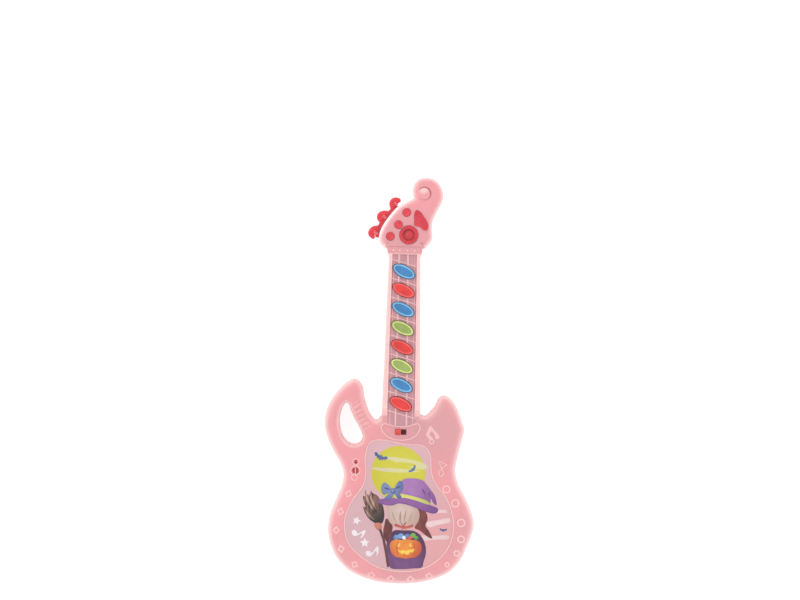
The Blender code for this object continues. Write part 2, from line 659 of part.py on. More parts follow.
def half_space(name, low, high):
    """A block that spans the guitar in plan, from low to high."""
    return prism(name, box_loop(-90, 90, -80, 330), low, high)


def build_front_shell(outer, inner, mat):
    """The front moulding."""
    shell = duplicate(outer)
    shell.name = "front_shell"
    combine(shell, half_space("front_half", PARTING_Z + GAP / 2, 60), "INTERSECT")
    cut(shell, duplicate(inner))
    add_front_bosses(shell)
    add_front_pads(shell)
    cut_front_recesses(shell)
    add_front_relief(shell)
    cut_front_openings(shell)
    shell.data.materials.clear()
    shell.data.materials.append(mat)
    return finish(shell)


def build_rear_shell(outer, inner, mat):
    """The rear moulding with its battery bay, screw posts and wells."""
    shell = outer
    shell.name = "rear_shell"
    combine(shell, half_space("rear_half", -10, PARTING_Z - GAP / 2), "INTERSECT")
    cut(shell, inner)
    y0, y1 = BAY_Y
    bay = box_loop(-BAY_X - BAY_WALL, BAY_X + BAY_WALL, y0 - BAY_WALL, y1 + BAY_WALL)
    add(shell, prism("bay", bay, 1.0, BAY_TOP_Z + BAY_WALL))
    lug_x, lug_y, lug_z = DOOR_LUG
    add(shell, prism("lug_block", box_loop(-8, 8, y1 + 0.4, lug_y + 3), 1.0, 9.0))
    cut(shell, prism("bay_inside", box_loop(-BAY_X, BAY_X, y0, y1), WALL, BAY_TOP_Z))
    cut(shell, prism("door_way", box_loop(-BAY_X, BAY_X, DOOR_Y[0] - GAP, DOOR_Y[1] + GAP),
                     -1, WALL + 0.5))
    cut(shell, prism("lug_way", box_loop(-lug_x - GAP, lug_x + GAP, DOOR_Y[1] - 1, lug_y + GAP),
                     -1, lug_z + GAP))
    cut(shell, turned("door_pilot", (0, DOOR_SCREW_Y), [(1.9, 1), (1.9, 12)], 10))
    for x, y, seat in SHELL_SCREWS:
        back = HEAD_BACK_Z if seat > HEAD_SEAT_Z else 0.0
        add(shell, turned("post", (x, y), [(POST_RADIUS, back + 1),
                                           (POST_RADIUS, PARTING_Z - GAP / 2)], 12))
        cut(shell, turned("well", (x, y), [(WELL_RADIUS, back - 2), (WELL_RADIUS, seat)], 12))
        cut(shell, turned("way", (x, y), [(SHANK_RADIUS, seat - 1),
                                          (SHANK_RADIUS, PARTING_Z + 2)], 8))
    shell.data.materials.clear()
    shell.data.materials.append(mat)
    return finish(shell)


# ================================================================ pieces on the front
def build_label(mat):
    """The printed panel that lies in the recess of the front face."""
    loop = offset_loop(smooth_path(PANEL_ANCHORS), RIM_WIDTH + GAP)
    return finish(prism("panel_label", loop, LABEL_Z[0], LABEL_Z[1], mat))


def build_key(index, mat):
    """One note key: a flanged oval cap in its hole in the fretboard."""
    centre = key_centre(index)
    low, high = KEY_FLANGE_Z
    shoulder = KEY_TOP_Z - KEY_CHAMFER
    bevel = (KEY_TOP[0] - 2 * KEY_CHAMFER, KEY_TOP[1] - 2 * KEY_CHAMFER)
    dish = (bevel[0] - 1.6, bevel[1] - 1.6)
    levels = [(KEY_FLANGE, low), (KEY_FLANGE, high), (KEY_TOP, high + 0.001),
              (KEY_TOP, shoulder), (bevel, KEY_TOP_Z), (dish, KEY_TOP_Z - 0.25)]
    rings = []
    for size, z in levels:
        loop = ellipse(centre, size, KEY_SEGMENTS, KEY_TILT)
        rings.append([(p.x, p.y, z) for p in loop])
    key = finish(loft(f"key_{index + 1}", rings, mat))
    set_origin(key, (*centre, low))
    return key


def build_dome(index, mat):
    """The rubber dome under one key."""
    x, y = key_centre(index)
    low = KEY_BOARD_Z[1] + GAP
    high = KEY_FLANGE_Z[0] - GAP
    wide, narrow = DOME_RADII
    return finish(turned(f"key_dome_{index + 1}", (x, y),
                         [(wide, low), (wide, low + 0.6), (narrow, low + 1.6), (narrow, high)],
                         10, mat))


def build_switch(body_mat, knob_mat):
    """The slide switch: its black housing on the board and its red knob in the window."""
    x, y = SWITCH_CENTRE
    housing = prism("switch_body", rectangle((x, y), (9.0, 4.4)), MAIN_BOARD_Z[1] + GAP,
                    SWITCH_PLATE_Z[0] + 0.4, body_mat)
    add(housing, prism("dust_plate", rectangle((x, y), (15.0, 7.0)), *SWITCH_PLATE_Z))
    cut(housing, prism("slot", rectangle((x, y), (SWITCH_TRAVEL + 3.0, 2.4)), 20.4, 30.0))
    finish(housing)
    knob_x = x - SWITCH_TRAVEL / 2
    knob = prism("switch_knob", rectangle((knob_x, y), (4.6, 4.2)), SWITCH_PLATE_Z[1] + GAP,
                 27.9, knob_mat)
    add(knob, prism("stem", rectangle((knob_x, y), (2.2, 1.6)), 20.8, 25.0))
    for dx in (-1.3, 0.0, 1.3):
        cut(knob, prism("grip", rectangle((knob_x + dx, y), (0.5, 6.0)), 27.4, 30.0))
    finish(knob)
    set_origin(knob, (knob_x, y, SWITCH_PLATE_Z[1]))


# ================================================================ electronics
def build_boards(mat, chip_mat):
    """The long key board in the neck and the main board under the switch."""
    half = KEY_BOARD_WIDTH / 2
    keys = prism("key_board", box_loop(-half, half, *KEY_BOARD_Y), *KEY_BOARD_Z, mat)
    main = prism("main_board", box_loop(*MAIN_BOARD), *MAIN_BOARD_Z, mat)
    for x, y, board_z, top in BOARD_SCREWS:
        board = main if y < KEY_BOARD_Y[0] else keys
        cut(board, turned("hole", (x, y), [(1.4, board_z - 1), (1.4, board_z + 3)], 8))
    finish(keys)
    finish(main)
    finish(turned("sound_chip", (4.0, 70.0), [(2.6, MAIN_BOARD_Z[0] - 2.2),
                                              (3.9, MAIN_BOARD_Z[0] - 1.6),
                                              (4.6, MAIN_BOARD_Z[0] - GAP)], 12, chip_mat))


def build_speaker(steel_mat, cone_mat, magnet_mat):
    """The small speaker behind the clef's sound holes: basket, cone and magnet."""
    radius = SPEAKER_RADIUS
    top = CEILING_Z - GAP
    basket = turned("speaker_frame", SPEAKER_CENTRE, [
        (7.5, 17.4), (7.5, 18.2), (12.6, 21.4), (12.6, top - 0.8), (radius, top - 0.8),
        (radius, top)], 20, steel_mat)
    cut(basket, turned("basket_inside", SPEAKER_CENTRE, [
        (6.4, 18.2), (11.8, 21.6), (11.8, top + 1)], 20))
    cut(basket, turned("coil_way", SPEAKER_CENTRE, [(3.6, 16), (3.6, 20)], 12))
    finish(basket)
    finish(turned("speaker_cone", SPEAKER_CENTRE, [
        (3.0, 17.6), (3.0, 19.0), (6.0, 19.2), (11.2, 22.3), (11.2, 22.7), (5.0, 20.2)], 16,
        cone_mat))
    finish(turned("speaker_magnet", SPEAKER_CENTRE, [(8.2, 12.6), (8.2, 17.1)], 16, magnet_mat))


# ================================================================ batteries
def build_cell(name, x, toward, mat):
    """One AA cell whose button end points along toward, +1 or -1 in Y."""
    half = CELL_LENGTH / 2
    profile = [(CELL_RADIUS - 0.5, -half), (CELL_RADIUS, -half + 0.5), (CELL_RADIUS, half - 0.5),
               (CELL_RADIUS - 0.5, half), (BUTTON[0], half), (BUTTON[0], half + BUTTON[1])]
    profile = [(radius, CELL_CENTRE_Y + toward * y) for radius, y in profile]
    if toward < 0:
        profile.reverse()
    finish(turned_along_y(name, x, CELL_Z, profile, 14, mat))


def contact_plate(name, x0, x1, y, mat):
    """A thin contact plate that stands across the bay at y."""
    return prism(name, box_loop(x0, x1, y - 0.2, y + 0.2), 5.0, 14.6, mat)


def build_contacts(mat):
    """Battery contacts: a bridge at the foot, a plus plate and a minus spring at the top."""
    foot_y = BAY_Y[0] + 0.6
    top_y = BAY_Y[1] - 0.6
    low_end = CELL_CENTRE_Y - CELL_LENGTH / 2
    high_end = CELL_CENTRE_Y + CELL_LENGTH / 2
    button = BUTTON[1] + GAP
    bridge = contact_plate("contact_bridge", -12.0, 12.0, foot_y, mat)
    add(bridge, turned_along_y("spring", -CELL_X, CELL_Z, [(3.6, foot_y), (2.6, low_end - GAP)],
                               12))
    add(bridge, turned_along_y("dimple", CELL_X, CELL_Z,
                               [(3.2, foot_y), (2.4, low_end - button)], 12))
    finish(bridge)
    plus = contact_plate("contact_plus", -12.0, -1.2, top_y, mat)
    add(plus, turned_along_y("dimple", -CELL_X, CELL_Z,
                             [(2.4, high_end + button), (3.0, top_y)], 12))
    finish(plus)
    minus = contact_plate("contact_minus", 1.2, 12.0, top_y, mat)
    add(minus, turned_along_y("spring", CELL_X, CELL_Z, [(2.4, high_end + GAP), (3.6, top_y)],
                              12))
    finish(minus)


def build_battery_door(mat, steel_mat):
    """The battery door: tabs hold its foot and one captive screw holds its lug."""
    y0, y1 = DOOR_Y
    lug_x, lug_y, lug_z = DOOR_LUG
    door = prism("battery_door", box_loop(-DOOR_X, DOOR_X, y0, y1), 0.0, DOOR_THICKNESS, mat)
    add(door, prism("lug", box_loop(-lug_x, lug_x, y1 - 3, lug_y), 0.0, DOOR_THICKNESS))
    add(door, prism("lug_pad", box_loop(-lug_x + 0.2, lug_x - 0.2, y1 + 1.6, lug_y - 0.2),
                    0.8, lug_z))
    for x0, x1 in DOOR_TABS:
        add(door, prism("tab_root", box_loop(x0, x1, y0 + 0.2, y0 + 2.6), 1.0, DOOR_TAB_TOP_Z))
        add(door, prism("tab", box_loop(x0, x1, y0 - 2.2, y0 + 1.0), 2.4, DOOR_TAB_TOP_Z))
    for k in range(DOOR_GRIPS):
        low = DOOR_GRIP_Y + DOOR_GRIP_PITCH * k
        cut(door, prism("grip", box_loop(-6.0, 6.0, low, low + 0.8), -1.0, 0.4))
    cut(door, turned("head_well", (0, DOOR_SCREW_Y), [(WELL_RADIUS, -1.0),
                                                      (WELL_RADIUS, DOOR_THICKNESS)], 12))
    cut(door, turned("shank_hole", (0, DOOR_SCREW_Y), [(PILOT_RADIUS, -1.0),
                                                       (PILOT_RADIUS, 5.0)], 8))
    finish(door)
    set_origin(door, (0, y0, 0))
    centre = (0, DOOR_SCREW_Y)
    finish(cut_cross(screw_solid("door_screw", centre, 0.1, 1.4, 8.0, steel_mat), centre, 0.1))


# ================================================================ screws
def screw_solid(name, centre, low, seat, tip, mat):
    """A pan-head screw pointing up, from its head's face at low to its tip."""
    head = SCREW_HEAD[0]
    profile = [(head - 0.7, low), (head, low + 0.6), (head, seat), (SCREW_SHAFT, seat + 0.001),
               (SCREW_SHAFT, tip - 1.2), (0.3, tip)]
    return turned(name, centre, profile, SCREW_SIDES, mat)


def cut_cross(screw, centre, low):
    """Cuts the cross recess into a screw's head."""
    arm, half = 1.4, 0.35
    corner = ((arm, half), (half, half), (half, arm))
    loop = []
    for k in range(4):
        turn = Matrix.Rotation(math.pi / 2 * k, 2)
        loop += [Vector(centre) + turn @ Vector(p) for p in corner]
    return cut(screw, prism("cross", loop, low - 1, low + 0.8))


def build_screws(mat):
    """The shell screws in their wells and the board screws."""
    height = SCREW_HEAD[1]
    for k, (x, y, seat) in enumerate(SHELL_SCREWS):
        low = seat - GAP - height
        screw = screw_solid(f"shell_screw_{k + 1}", (x, y), low, seat - GAP,
                            seat - GAP + SHELL_SCREW_LENGTH, mat)
        finish(cut_cross(screw, (x, y), low))
    for k, (x, y, board_z, top) in enumerate(BOARD_SCREWS):
        seat = board_z - GAP
        finish(screw_solid(f"board_screw_{k + 1}", (x, y), seat - 1.4, seat,
                           seat + BOARD_SCREW_LENGTH, mat))


# ================================================================ red trim on the headstock
def build_tuner_trim(mat):
    """One red moulding: carrier plate, edge strip, three peg heads and three studs."""
    trim = prism("tuner_trim", plate_loop(), *PLATE_Z, mat)
    low, high = PEG_Z
    for x, y in PEGS:
        wing = turned("wing", (x, y), [(PEG_RADIUS - 0.8, low), (PEG_RADIUS, low + 0.8),
                                       (PEG_RADIUS, high - 0.8), (PEG_RADIUS - 0.8, high)], 14)
        cut(wing, prism("clearance", offset_loop(head_loop(), -GAP - 0.1), low - 1, high + 1))
        add(trim, wing)
        add(trim, turned("nub", (x + 0.6, y - 0.3), [(PEG_SHAFT_RADIUS, high - 1),
                                                     (PEG_SHAFT_RADIUS, high + 0.5),
                                                     (0.8, high + 0.9)], 8))
    for x, y in STUDS:
        top = HEAD_FRONT_Z + 0.5
        add(trim, turned("stud", (x, y), [(STUD_RADIUS, PLATE_Z[0] + 0.5), (STUD_RADIUS, top),
                                          (STUD_RADIUS - 0.6, top + 0.5),
                                          (1.8, top + 0.1), (0.9, top + 0.5)], 14))
    return finish(trim)


def build_rosette(mat):
    """The round red ornament: a beaded rim around a stepped cup, on a push-in stem."""
    x, y, radius = ROSETTE
    top = HEAD_FRONT_Z + 0.9
    floor = TRIM_FLOOR_Z + GAP
    finish(turned("rosette", (x, y), [
        (2.2, HEAD_CEILING_Z - 1.0), (2.2, floor), (radius, floor + 0.001), (radius, top - 0.5),
        (radius - 0.6, top), (radius - 2.2, top), (radius - 3.2, top - 0.9),
        (2.4, top - 1.2), (1.6, top - 0.5)], 20, mat))


def build_fin(mat):
    """The red fin-shaped ornament, with a raised border and a push-in stem."""
    loop = smooth_path(FIN_ANCHORS)
    floor = TRIM_FLOOR_Z + GAP
    top = HEAD_FRONT_Z + 0.8
    fin = prism("fin", loop, floor, top, mat)
    cut(fin, prism("face", offset_loop(loop, 1.0), top - 0.6, top + 2))
    add(fin, turned("stem", FIN_STEM, [(1.5, HEAD_CEILING_Z - 1.0), (1.5, floor + 0.5)], 8))
    return finish(fin)


# ================================================================ the whole guitar
def build():
    """Builds every piece of the guitar."""
    clear_scene()
    pink = material("pink_abs", (0.86, 0.42, 0.45), 0.3, transmission=0.25)
    print_face = material("label_print", (0.75, 0.45, 0.48), 0.35)
    red = material("red_abs", (0.76, 0.06, 0.09), 0.3)
    steel = material("zinc_steel", (0.62, 0.62, 0.6), 0.35, metallic=1.0)
    board = material("board_green", (0.05, 0.23, 0.1), 0.5)
    black = material("black_abs", (0.03, 0.02, 0.025), 0.4)
    rubber = material("grey_rubber", (0.55, 0.56, 0.56), 0.7)
    paper = material("cone_paper", (0.06, 0.06, 0.065), 0.8)
    ferrite = material("ferrite", (0.08, 0.08, 0.085), 0.6)
    cell = material("cell_jacket", (0.04, 0.1, 0.06), 0.35)
    key_colours = {
        "blue": material("blue_abs", (0.08, 0.3, 0.6), 0.3),
        "red": material("key_red_abs", (0.84, 0.08, 0.08), 0.3),
        "green": material("green_abs", (0.42, 0.5, 0.17), 0.3),
    }
    outer = outer_solid()
    inner = inner_solid()
    build_front_shell(outer, inner, pink)
    build_rear_shell(outer, inner, pink)
    build_label(print_face)
    for k in range(KEY_COUNT):
        build_key(k, key_colours[KEY_COLOURS[k]])
        build_dome(k, rubber)
    build_switch(black, red)
    build_boards(board, black)
    build_speaker(steel, paper, ferrite)
    build_cell("battery_1", -CELL_X, 1, cell)
    build_cell("battery_2", CELL_X, -1, cell)
    build_contacts(steel)
    build_battery_door(pink, steel)
    build_screws(steel)
    build_tuner_trim(red)
    build_rosette(red)
    build_fin(red)


build()
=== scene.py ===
"""Looks of the toy electric guitar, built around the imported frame.

Outlines are in millimetres on the plan that the CAD uses: X = 0 is the neck's centreline and
Y = 0 is the widest line of the lower bout. solid() moves and scales every mesh into the frame,
which is in metres with its origin under the middle of the body's back. Heights are above the
body's back, and a part of a solid is written as (maker, *values).
"""
import math

import bmesh
import bpy
from mathutils import Matrix, Vector
from mathutils.geometry import intersect_point_line


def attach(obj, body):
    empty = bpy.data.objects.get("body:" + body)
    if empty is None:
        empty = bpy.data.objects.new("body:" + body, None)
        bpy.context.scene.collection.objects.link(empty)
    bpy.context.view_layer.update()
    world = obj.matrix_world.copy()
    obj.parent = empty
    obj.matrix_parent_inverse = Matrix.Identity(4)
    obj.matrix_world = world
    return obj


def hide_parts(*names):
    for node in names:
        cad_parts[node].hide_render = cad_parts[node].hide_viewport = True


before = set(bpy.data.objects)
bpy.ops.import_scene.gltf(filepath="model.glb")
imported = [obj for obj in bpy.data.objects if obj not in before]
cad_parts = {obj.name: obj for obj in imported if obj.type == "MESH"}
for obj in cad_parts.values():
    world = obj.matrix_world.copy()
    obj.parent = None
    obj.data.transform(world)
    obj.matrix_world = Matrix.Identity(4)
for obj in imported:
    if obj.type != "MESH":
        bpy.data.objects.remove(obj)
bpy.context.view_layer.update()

MM = 0.001
MERGE = 0.000002              # points nearer than this, in metres, become one
ORIGIN_Y = 38.0
ALL_X, ALL_Y = (-90, 90), (-80, 330)    # limits of a plan area that holds the whole guitar
FINE = 5                      # curve points for each span of an outline

# ---------------------------------------------------------------- shells
FRONT_Z = 26.0
PARTING_Z = 13.0
ABOVE_FACE = FRONT_Z + 5        # where a tool that cuts the front face ends
GAP = 0.3
WALL = 2.0
BODY_EDGE = (8.0, 5.0)         # how far an edge's rounding reaches across and down
HOLE_EDGE_RADIUS = 4.5
EDGE_STEPS = 7
CEILING_Z = 23.5
RELIEF_TOP = 26.55
STUD_RELIEF_TOP = 26.4
STUD_FOOT = 23.6
BEAD_FOOT = 24.4
BEAD_WIDTH = 1.0
STUD_BEAD_WIDTH = 1.35

BODY_ANCHORS = [
    (0.5, -48.7), (15, -47.9), (30, -44.6), (43.5, -38.4), (53, -28.5), (59.3, -15), (63.2, -4),
    (64.4, 3), (62.5, 12), (57.3, 24), (50.8, 36), (47.5, 49), (49.7, 62.4), (52.8, 76),
    (54.2, 84), (52, 91), (48.4, 100.6), (43.2, 108.6), (37, 112.3), (32.3, 110.2), (29.6, 104.6),
    (25.2, 98.2), (20.2, 94.2), (16.6, 96), (13.5, 100.5), (0, 101.5), (-13.5, 100.5), (-16.8, 94),
    (-20.5, 90), (-24, 92), (-28.2, 99), (-31.6, 109), (-33.2, 118), (-36.2, 122.8),
    (-40.6, 124.9), (-46.2, 122.4), (-53.5, 115.4), (-60, 106.2), (-63.8, 96), (-64.82, 85),
    (-62.2, 74.5), (-56.6, 63), (-50.2, 52), (-47.7, 43), (-49.6, 32), (-53.8, 21.5), (-58.5, 9),
    (-59.9, -4), (-57.2, -17), (-51, -29), (-40.5, -38.8), (-28, -44.4), (-14, -47.8),
]
GRIP_HOLE_ANCHORS = [
    (-39.5, 68.8), (-34.6, 70.8), (-32.2, 75.8), (-34.8, 83.3), (-39.3, 90.9), (-42.8, 98.5),
    (-44.4, 103), (-46.4, 104.6), (-48.3, 103.2), (-51.2, 96.5), (-52.2, 89), (-50.8, 80.4),
    (-47, 72.6),
]
NECK_START_Y = 89.0
NECK_END_Y = 232.2
NECK_BACK_Z = 6.0
NECK_SIDE_RISE = 8.0            # from the neck's back to where its sides stand upright
RAIL_RAMP = (25.4, 102.0)
RAIL_TOP_Z = 27.6
NUT_TOP_Z = 26.8
NUT_END_Y = 240.0
NECK_HALF_START = 16.4
NECK_HALF_END = 13.5
NUT_HALF_END = 15.7
FRET_FLOOR_Z = 25.9
FRET_FLOOR_START_Y = 84.6
NECK_CEILING_Z = 24.0
RECESS_HALF_START = 11.6
RECESS_HALF_END = 10.2
NUT_GROOVE_HALF = 15.0
NUT_GROOVE_Y = (237.9, 238.5)
NUT_DOTS = [(-9.7, 235.2), (-4.3, 235.2), (2.3, 235.2), (8.5, 235.2)]

HEAD_BACK_Z = 8.0
HEAD_FRONT_Z = 28.0
ABOVE_HEAD = HEAD_FRONT_Z + 5
HEAD_CEILING_Z = 25.5
HEAD_EDGE = (5.6, 3.8)
HEAD_RIGHT_ANCHORS = [
    (-16.6, 237), (0, 237), (16.6, 237), (19.6, 240), (23.2, 245.8), (22.7, 253), (23.2, 260.5),
    (27.4, 270), (31.2, 278.6), (31.2, 285.4), (28.4, 292), (23.4, 296.2), (17, 297.5),
    (10.6, 296.1), (6.8, 291.8), (5.7, 286.6), (6.8, 279.6),
]
HEAD_LEFT_ANCHORS = [
    (6.8, 279.6), (-0.2, 275.9), (-6.7, 272.5), (-11.2, 267.6), (-17, 259.8), (-21, 252.2),
    (-22.4, 245.6), (-20.6, 240.6), (-16.6, 237),
]

# ---------------------------------------------------------------- front face details
PANEL_ANCHORS = [
    (-8, 73.2), (-18.5, 74.2), (-26, 71.6), (-29.9, 60.5), (-29.2, 45.8), (-31, 35.2),
    (-40.9, 20.4), (-46.3, 3.2), (-43, -13.9), (-32.4, -25.4), (-17, -34.9), (2, -38.1),
    (21, -35.6), (36, -26.4), (45.4, -12), (47.2, 6), (41, 25.2), (30.6, 38.8), (27.2, 49),
    (25.8, 63), (20, 69.8), (5, 70.7),
]
PANEL_FLOOR_Z = 25.0
LABEL_Z = (25.3, 25.8)
LAYER_STEP = 0.005              # height of one printed layer above the one below
KIDNEY_ANCHORS = [
    (1.2, 73.4), (8.2, 74.7), (13.2, 77.6), (16.3, 82), (16.7, 86.2), (14.2, 88.6), (8, 86.8),
    (0.3, 85.7), (-8, 86.8), (-13.6, 88), (-16.7, 86), (-15.9, 81.4), (-12, 77), (-5.6, 74.1),
]
KIDNEY_FLOOR_Z = 25.5
SWITCH_CENTRE = (0.2, 80.8)
SWITCH_WINDOW = (9.6, 4.8)
SWITCH_TRAVEL = 4.4
KNOB_SIZE = (4.6, 4.2)
KNOB_STEM = (2.2, 1.6)
KNOB_Z = (23.5, 27.9)
BORDER_RINGS = [
    (40.2, 33, 3.6), (47.9, 21.2, 3.8), (53.4, 4.8, 3.7), (53.6, -9.2, 3.4), (50.2, -21.2, 2.9),
    (42.3, -31, 2.4),
]
BORDER_DIAMONDS = [
    (27.3, -41), (11.4, -44), (-5.4, -44), (-21.8, -41.2), (-36.4, -32.7), (-48.1, -19.8),
    (-52.6, -3.9), (-49.4, 12), (-43, 27.2),
]
DIAMOND_HALF = (3.2, 3.9)
CLEF_TOP = (-37.3, 54.5, 3.0, 1.4)
CLEF_MIDDLE = (-37.6, 47.2, 4.4, 2.8)
CLEF_FOOT = (-38.3, 41.6, 2.9)
# Oval of the red sheet that is a painted glow behind the sound holes.
GLOW_SHEET_OVAL = ((-37.4, 50.1), (7.4, 13.6))
BEAM_NOTE = [
    (25.1, 86.9), (29, 82.6), (32.8, 78.7), (33.2, 77.2), (32.4, 75.8), (30.9, 75.4), (29.5, 76.3),
    (29.2, 77.9), (28.8, 79.5), (26.4, 82), (25.2, 80.8), (24.7, 79.2), (26.6, 77.3), (28, 75.6),
    (27, 74.2), (24.9, 74.8), (22.8, 77.2), (21.5, 78.9), (22.6, 81.6),
]
BEAM_HEAD = (26.6, 73.3, 4.5, 5.2)
FLAG_NOTE = [(33.0, 57.0), (36.8, 55.7), (40.8, 53.6), (37.8, 51.9), (35.6, 50.0), (34.2, 53.2)]
FLAG_HEAD = (35.3, 46.8, 4.8, 6.6)
FLUTE_COUNT = 6
FLUTE_FIRST = ((-42.3, 101.0), (-33.4, 107.2))
FLUTE_LAST = ((-32.4, 83.0), (-23.2, 88.6))

# ---------------------------------------------------------------- keys and fretboard
KEY_COUNT = 8
KEY_FIRST_Y = 217.3
KEY_PITCH = 16.09
KEY_X = -0.3
KEY_TILT = math.radians(-25.0)
KEY_HOLE = (20.6, 10.8)
KEY_TOP = (19.6, 9.8)
KEY_FLANGE = (22.4, 12.4)
KEY_TOP_Z = 28.8
KEY_FLANGE_Z = (22.4, 23.7)
KEY_HOLLOW = [(2.8, 21.4), (2.8, 23.5), (2.4, 23.9)]    # room for the dome under a pressed key
KEY_DISH = [(1.05, 0.03), (1.45, 0.26), (1.9, 0.34), (3.4, 0.38)]
KEY_SHADES = [                   # colour, (face, edge) of the dish, where the darker edge is painted shade on the walls, and (face, edge) of the lip, pale as a painted highlight
    ("blue", ((66, 138, 198), (40, 84, 132)), ((128, 200, 240), (112, 184, 230))),
    ("red", ((236, 60, 58), (140, 30, 36)), ((250, 104, 98), (242, 84, 80))),
    ("green", ((164, 184, 98), (96, 108, 54)), ((222, 234, 148), (204, 218, 128))),
]
KEY_COLOURS = ["blue", "red", "blue", "green", "red", "green", "blue", "red"]
FRET_TILT = math.radians(-15.5)
FRET_FIRST_Y = 224.7
FRET_COUNT = 9
FRET_HALF = 12.3
FRET_FLOOR_REACH = 12.2         # the matt floor's faces lie nearer to X = 0 than this
FRET_TOP_Z = 26.5
STRINGS = [(-9.4, -9.0), (-4.6, -4.6), (4.9, 2.8), (10.0, 8.8)]
STRING_TOP_Z = 26.45

# ---------------------------------------------------------------- battery door and screws
BAY_X = 15.3
BAY_Y = (-37.5, 21.0)
BAY_TOP_Z = 17.6
BAY_WALL = 1.2
DOOR_X = 15.0
DOOR_Y = (-33.7, 19.7)
DOOR_THICKNESS = 1.7
DOOR_LUG = (4.5, 28.9, 3.2)
DOOR_TABS = [(-14.8, -12.8), (-1.4, 1.4), (12.8, 14.8)]
DOOR_SCREW_Y = 24.4
SHELL_SCREWS = [                 # x, y, the head's seat, and whether it is on the headstock
    (-43, -20, 8, False), (44, -20, 8, False), (-43, 17, 8, False), (43, 17, 8, False),
    (35, 60, 8, False), (-42.6, 114, 8, False), (37.4, 99, 8, False), (14, 272, 10.4, True),
]
BOSS, BOARD_BOSS = 3.5, 2.2       # radii of the front shell's bosses and of their pilot holes
PILOT, BOARD_PILOT = 1.4, 1.2
REAR_POST, HEAD_WELL, SHANK_HOLE = 4.6, 3.0, 1.5    # radii in the rear shell
BOARD_SCREWS = [
    (-12, 64, 17, CEILING_Z), (12, 64, 17, CEILING_Z), (0, 94, 17.6, NECK_CEILING_Z),
    (0, 228.2, 17.6, NECK_CEILING_Z),
]
SPEAKER_CENTRE = (-29.5, 46.5)
SPEAKER_RING = (15.6, 14.5)

# ---------------------------------------------------------------- red headstock trim
STUDS = [(-12.6, 246.9), (-5.9, 256.9), (0.9, 267.5)]
STUD_RADIUS = 3.4
ROSETTE = (3.1, 248.4, 7.9)
ROSETTE_BEADS = 22
ROSETTE_RIM = [(0, 0.5), (0.15, 0.2), (0.45, 0.05), (0.8, 0.1), (1, 0.55), (2.6, 0.7), (2.8, 0.3),
               (3.1, 0.3), (3.3, 1.4), (4.1, 1.5), (4.3, 1.85)]
ROSETTE_CUP = [(2.6, 1.85), (2.4, 1.3), (1.9, 1.0), (1.2, 0.8), (0.5, 0.72)]
FIN_ANCHORS = [
    (8, 256.8), (12.2, 255.6), (15.6, 253), (17.8, 252.6), (19.4, 255.6), (18.3, 259.8),
    (15, 264.6), (11.8, 268.6), (9.2, 269.4), (7.6, 266.6), (7.6, 261.5),
]
FIN_STEM = (12.0, 260.5)
TRIM_FLOOR_Z = 26.6
PLATE_Z = (13.5, 16.0)
PEG_Z = (11.5, 17.5)
PEG_OUTLINES = [
    [(-6.6, 275.6), (-4.6, 277), (-4.3, 278.6), (-6.2, 280.2), (-9.4, 280.7), (-12.6, 279.2),
     (-14.3, 275.7), (-13.6, 271.8), (-12.4, 269.6), (-9.6, 272.2), (-8.6, 274.4)],
    [(-15.6, 266.6), (-14.6, 268.4), (-16.4, 269.2), (-19.8, 269), (-23.2, 267.2), (-24.7, 263.7),
     (-23.8, 260.6), (-21.6, 258.8), (-19, 261.6)],
    [(-23, 254.6), (-22.8, 256.2), (-25.4, 256.2), (-28.9, 255), (-31.5, 251.5), (-31.6, 248.3),
     (-29.8, 245.9), (-27, 244.4), (-25.8, 245.8), (-26, 247.8), (-24.6, 249.6)],
]
PEG_NUBS = [(-8.9, 275.2), (-18.3, 264.0), (-25.4, 250.2)]
STRIP_OUTER = [
    (-25.6, 246.4), (-25.2, 251.4), (-22.8, 257.6), (-18.6, 263.9), (-13.4, 270.4), (-8.6, 274.7),
]
PLATE_INNER = [
    (-5.4, 271.8), (3.6, 270.4), (3.6, 264.6), (-2.6, 254.4), (-9.4, 243.6), (-15, 243.6),
]
SCROLL_CENTRE = (15.3, 283.6)
SCROLL_DISC = 5.1
SCROLL_GROOVE_Z = 27.3

# ---------------------------------------------------------------- colours, as linear RGB
def srgb(red, green, blue):
    """Linear RGB of an 8-bit display colour."""
    return tuple(v / 3294.6 if v <= 10.3 else ((v / 255 + 0.055) / 1.055) ** 2.4
                 for v in (red, green, blue))


PINK = srgb(240, 163, 168)
# Painted highlight: the pale pink of rounded edges, raised lines and rails, and the near-white of
# the headstock's left lip.
PINK_HIGHLIGHT = srgb(255, 211, 209)
PINK_LIP_HIGHLIGHT = srgb(255, 246, 246)
# The greyer pink gives random tone, and in the patches below it is painted shade where broad faces
# lie over the dark hollow.
PINK_GREY = srgb(216, 164, 169)
# Painted shade: the darker pink of the fretboard floor down in its recess.
PINK_SHADED_FLOOR = srgb(198, 145, 155)
MILKY_FINISH = (1500.0, 0.00002, 0.28, 0.4)
# Patches of painted shade, each a plan centre, radius, where the greying stops rising, and its
# share.
PAINTED_SHADE_PATCHES = [((28, 78), 46, 0.8, 0.6), ((2, -44), 26, 0.8, 0.55), ((-1, 250), 26, 0.9, 0.5)]


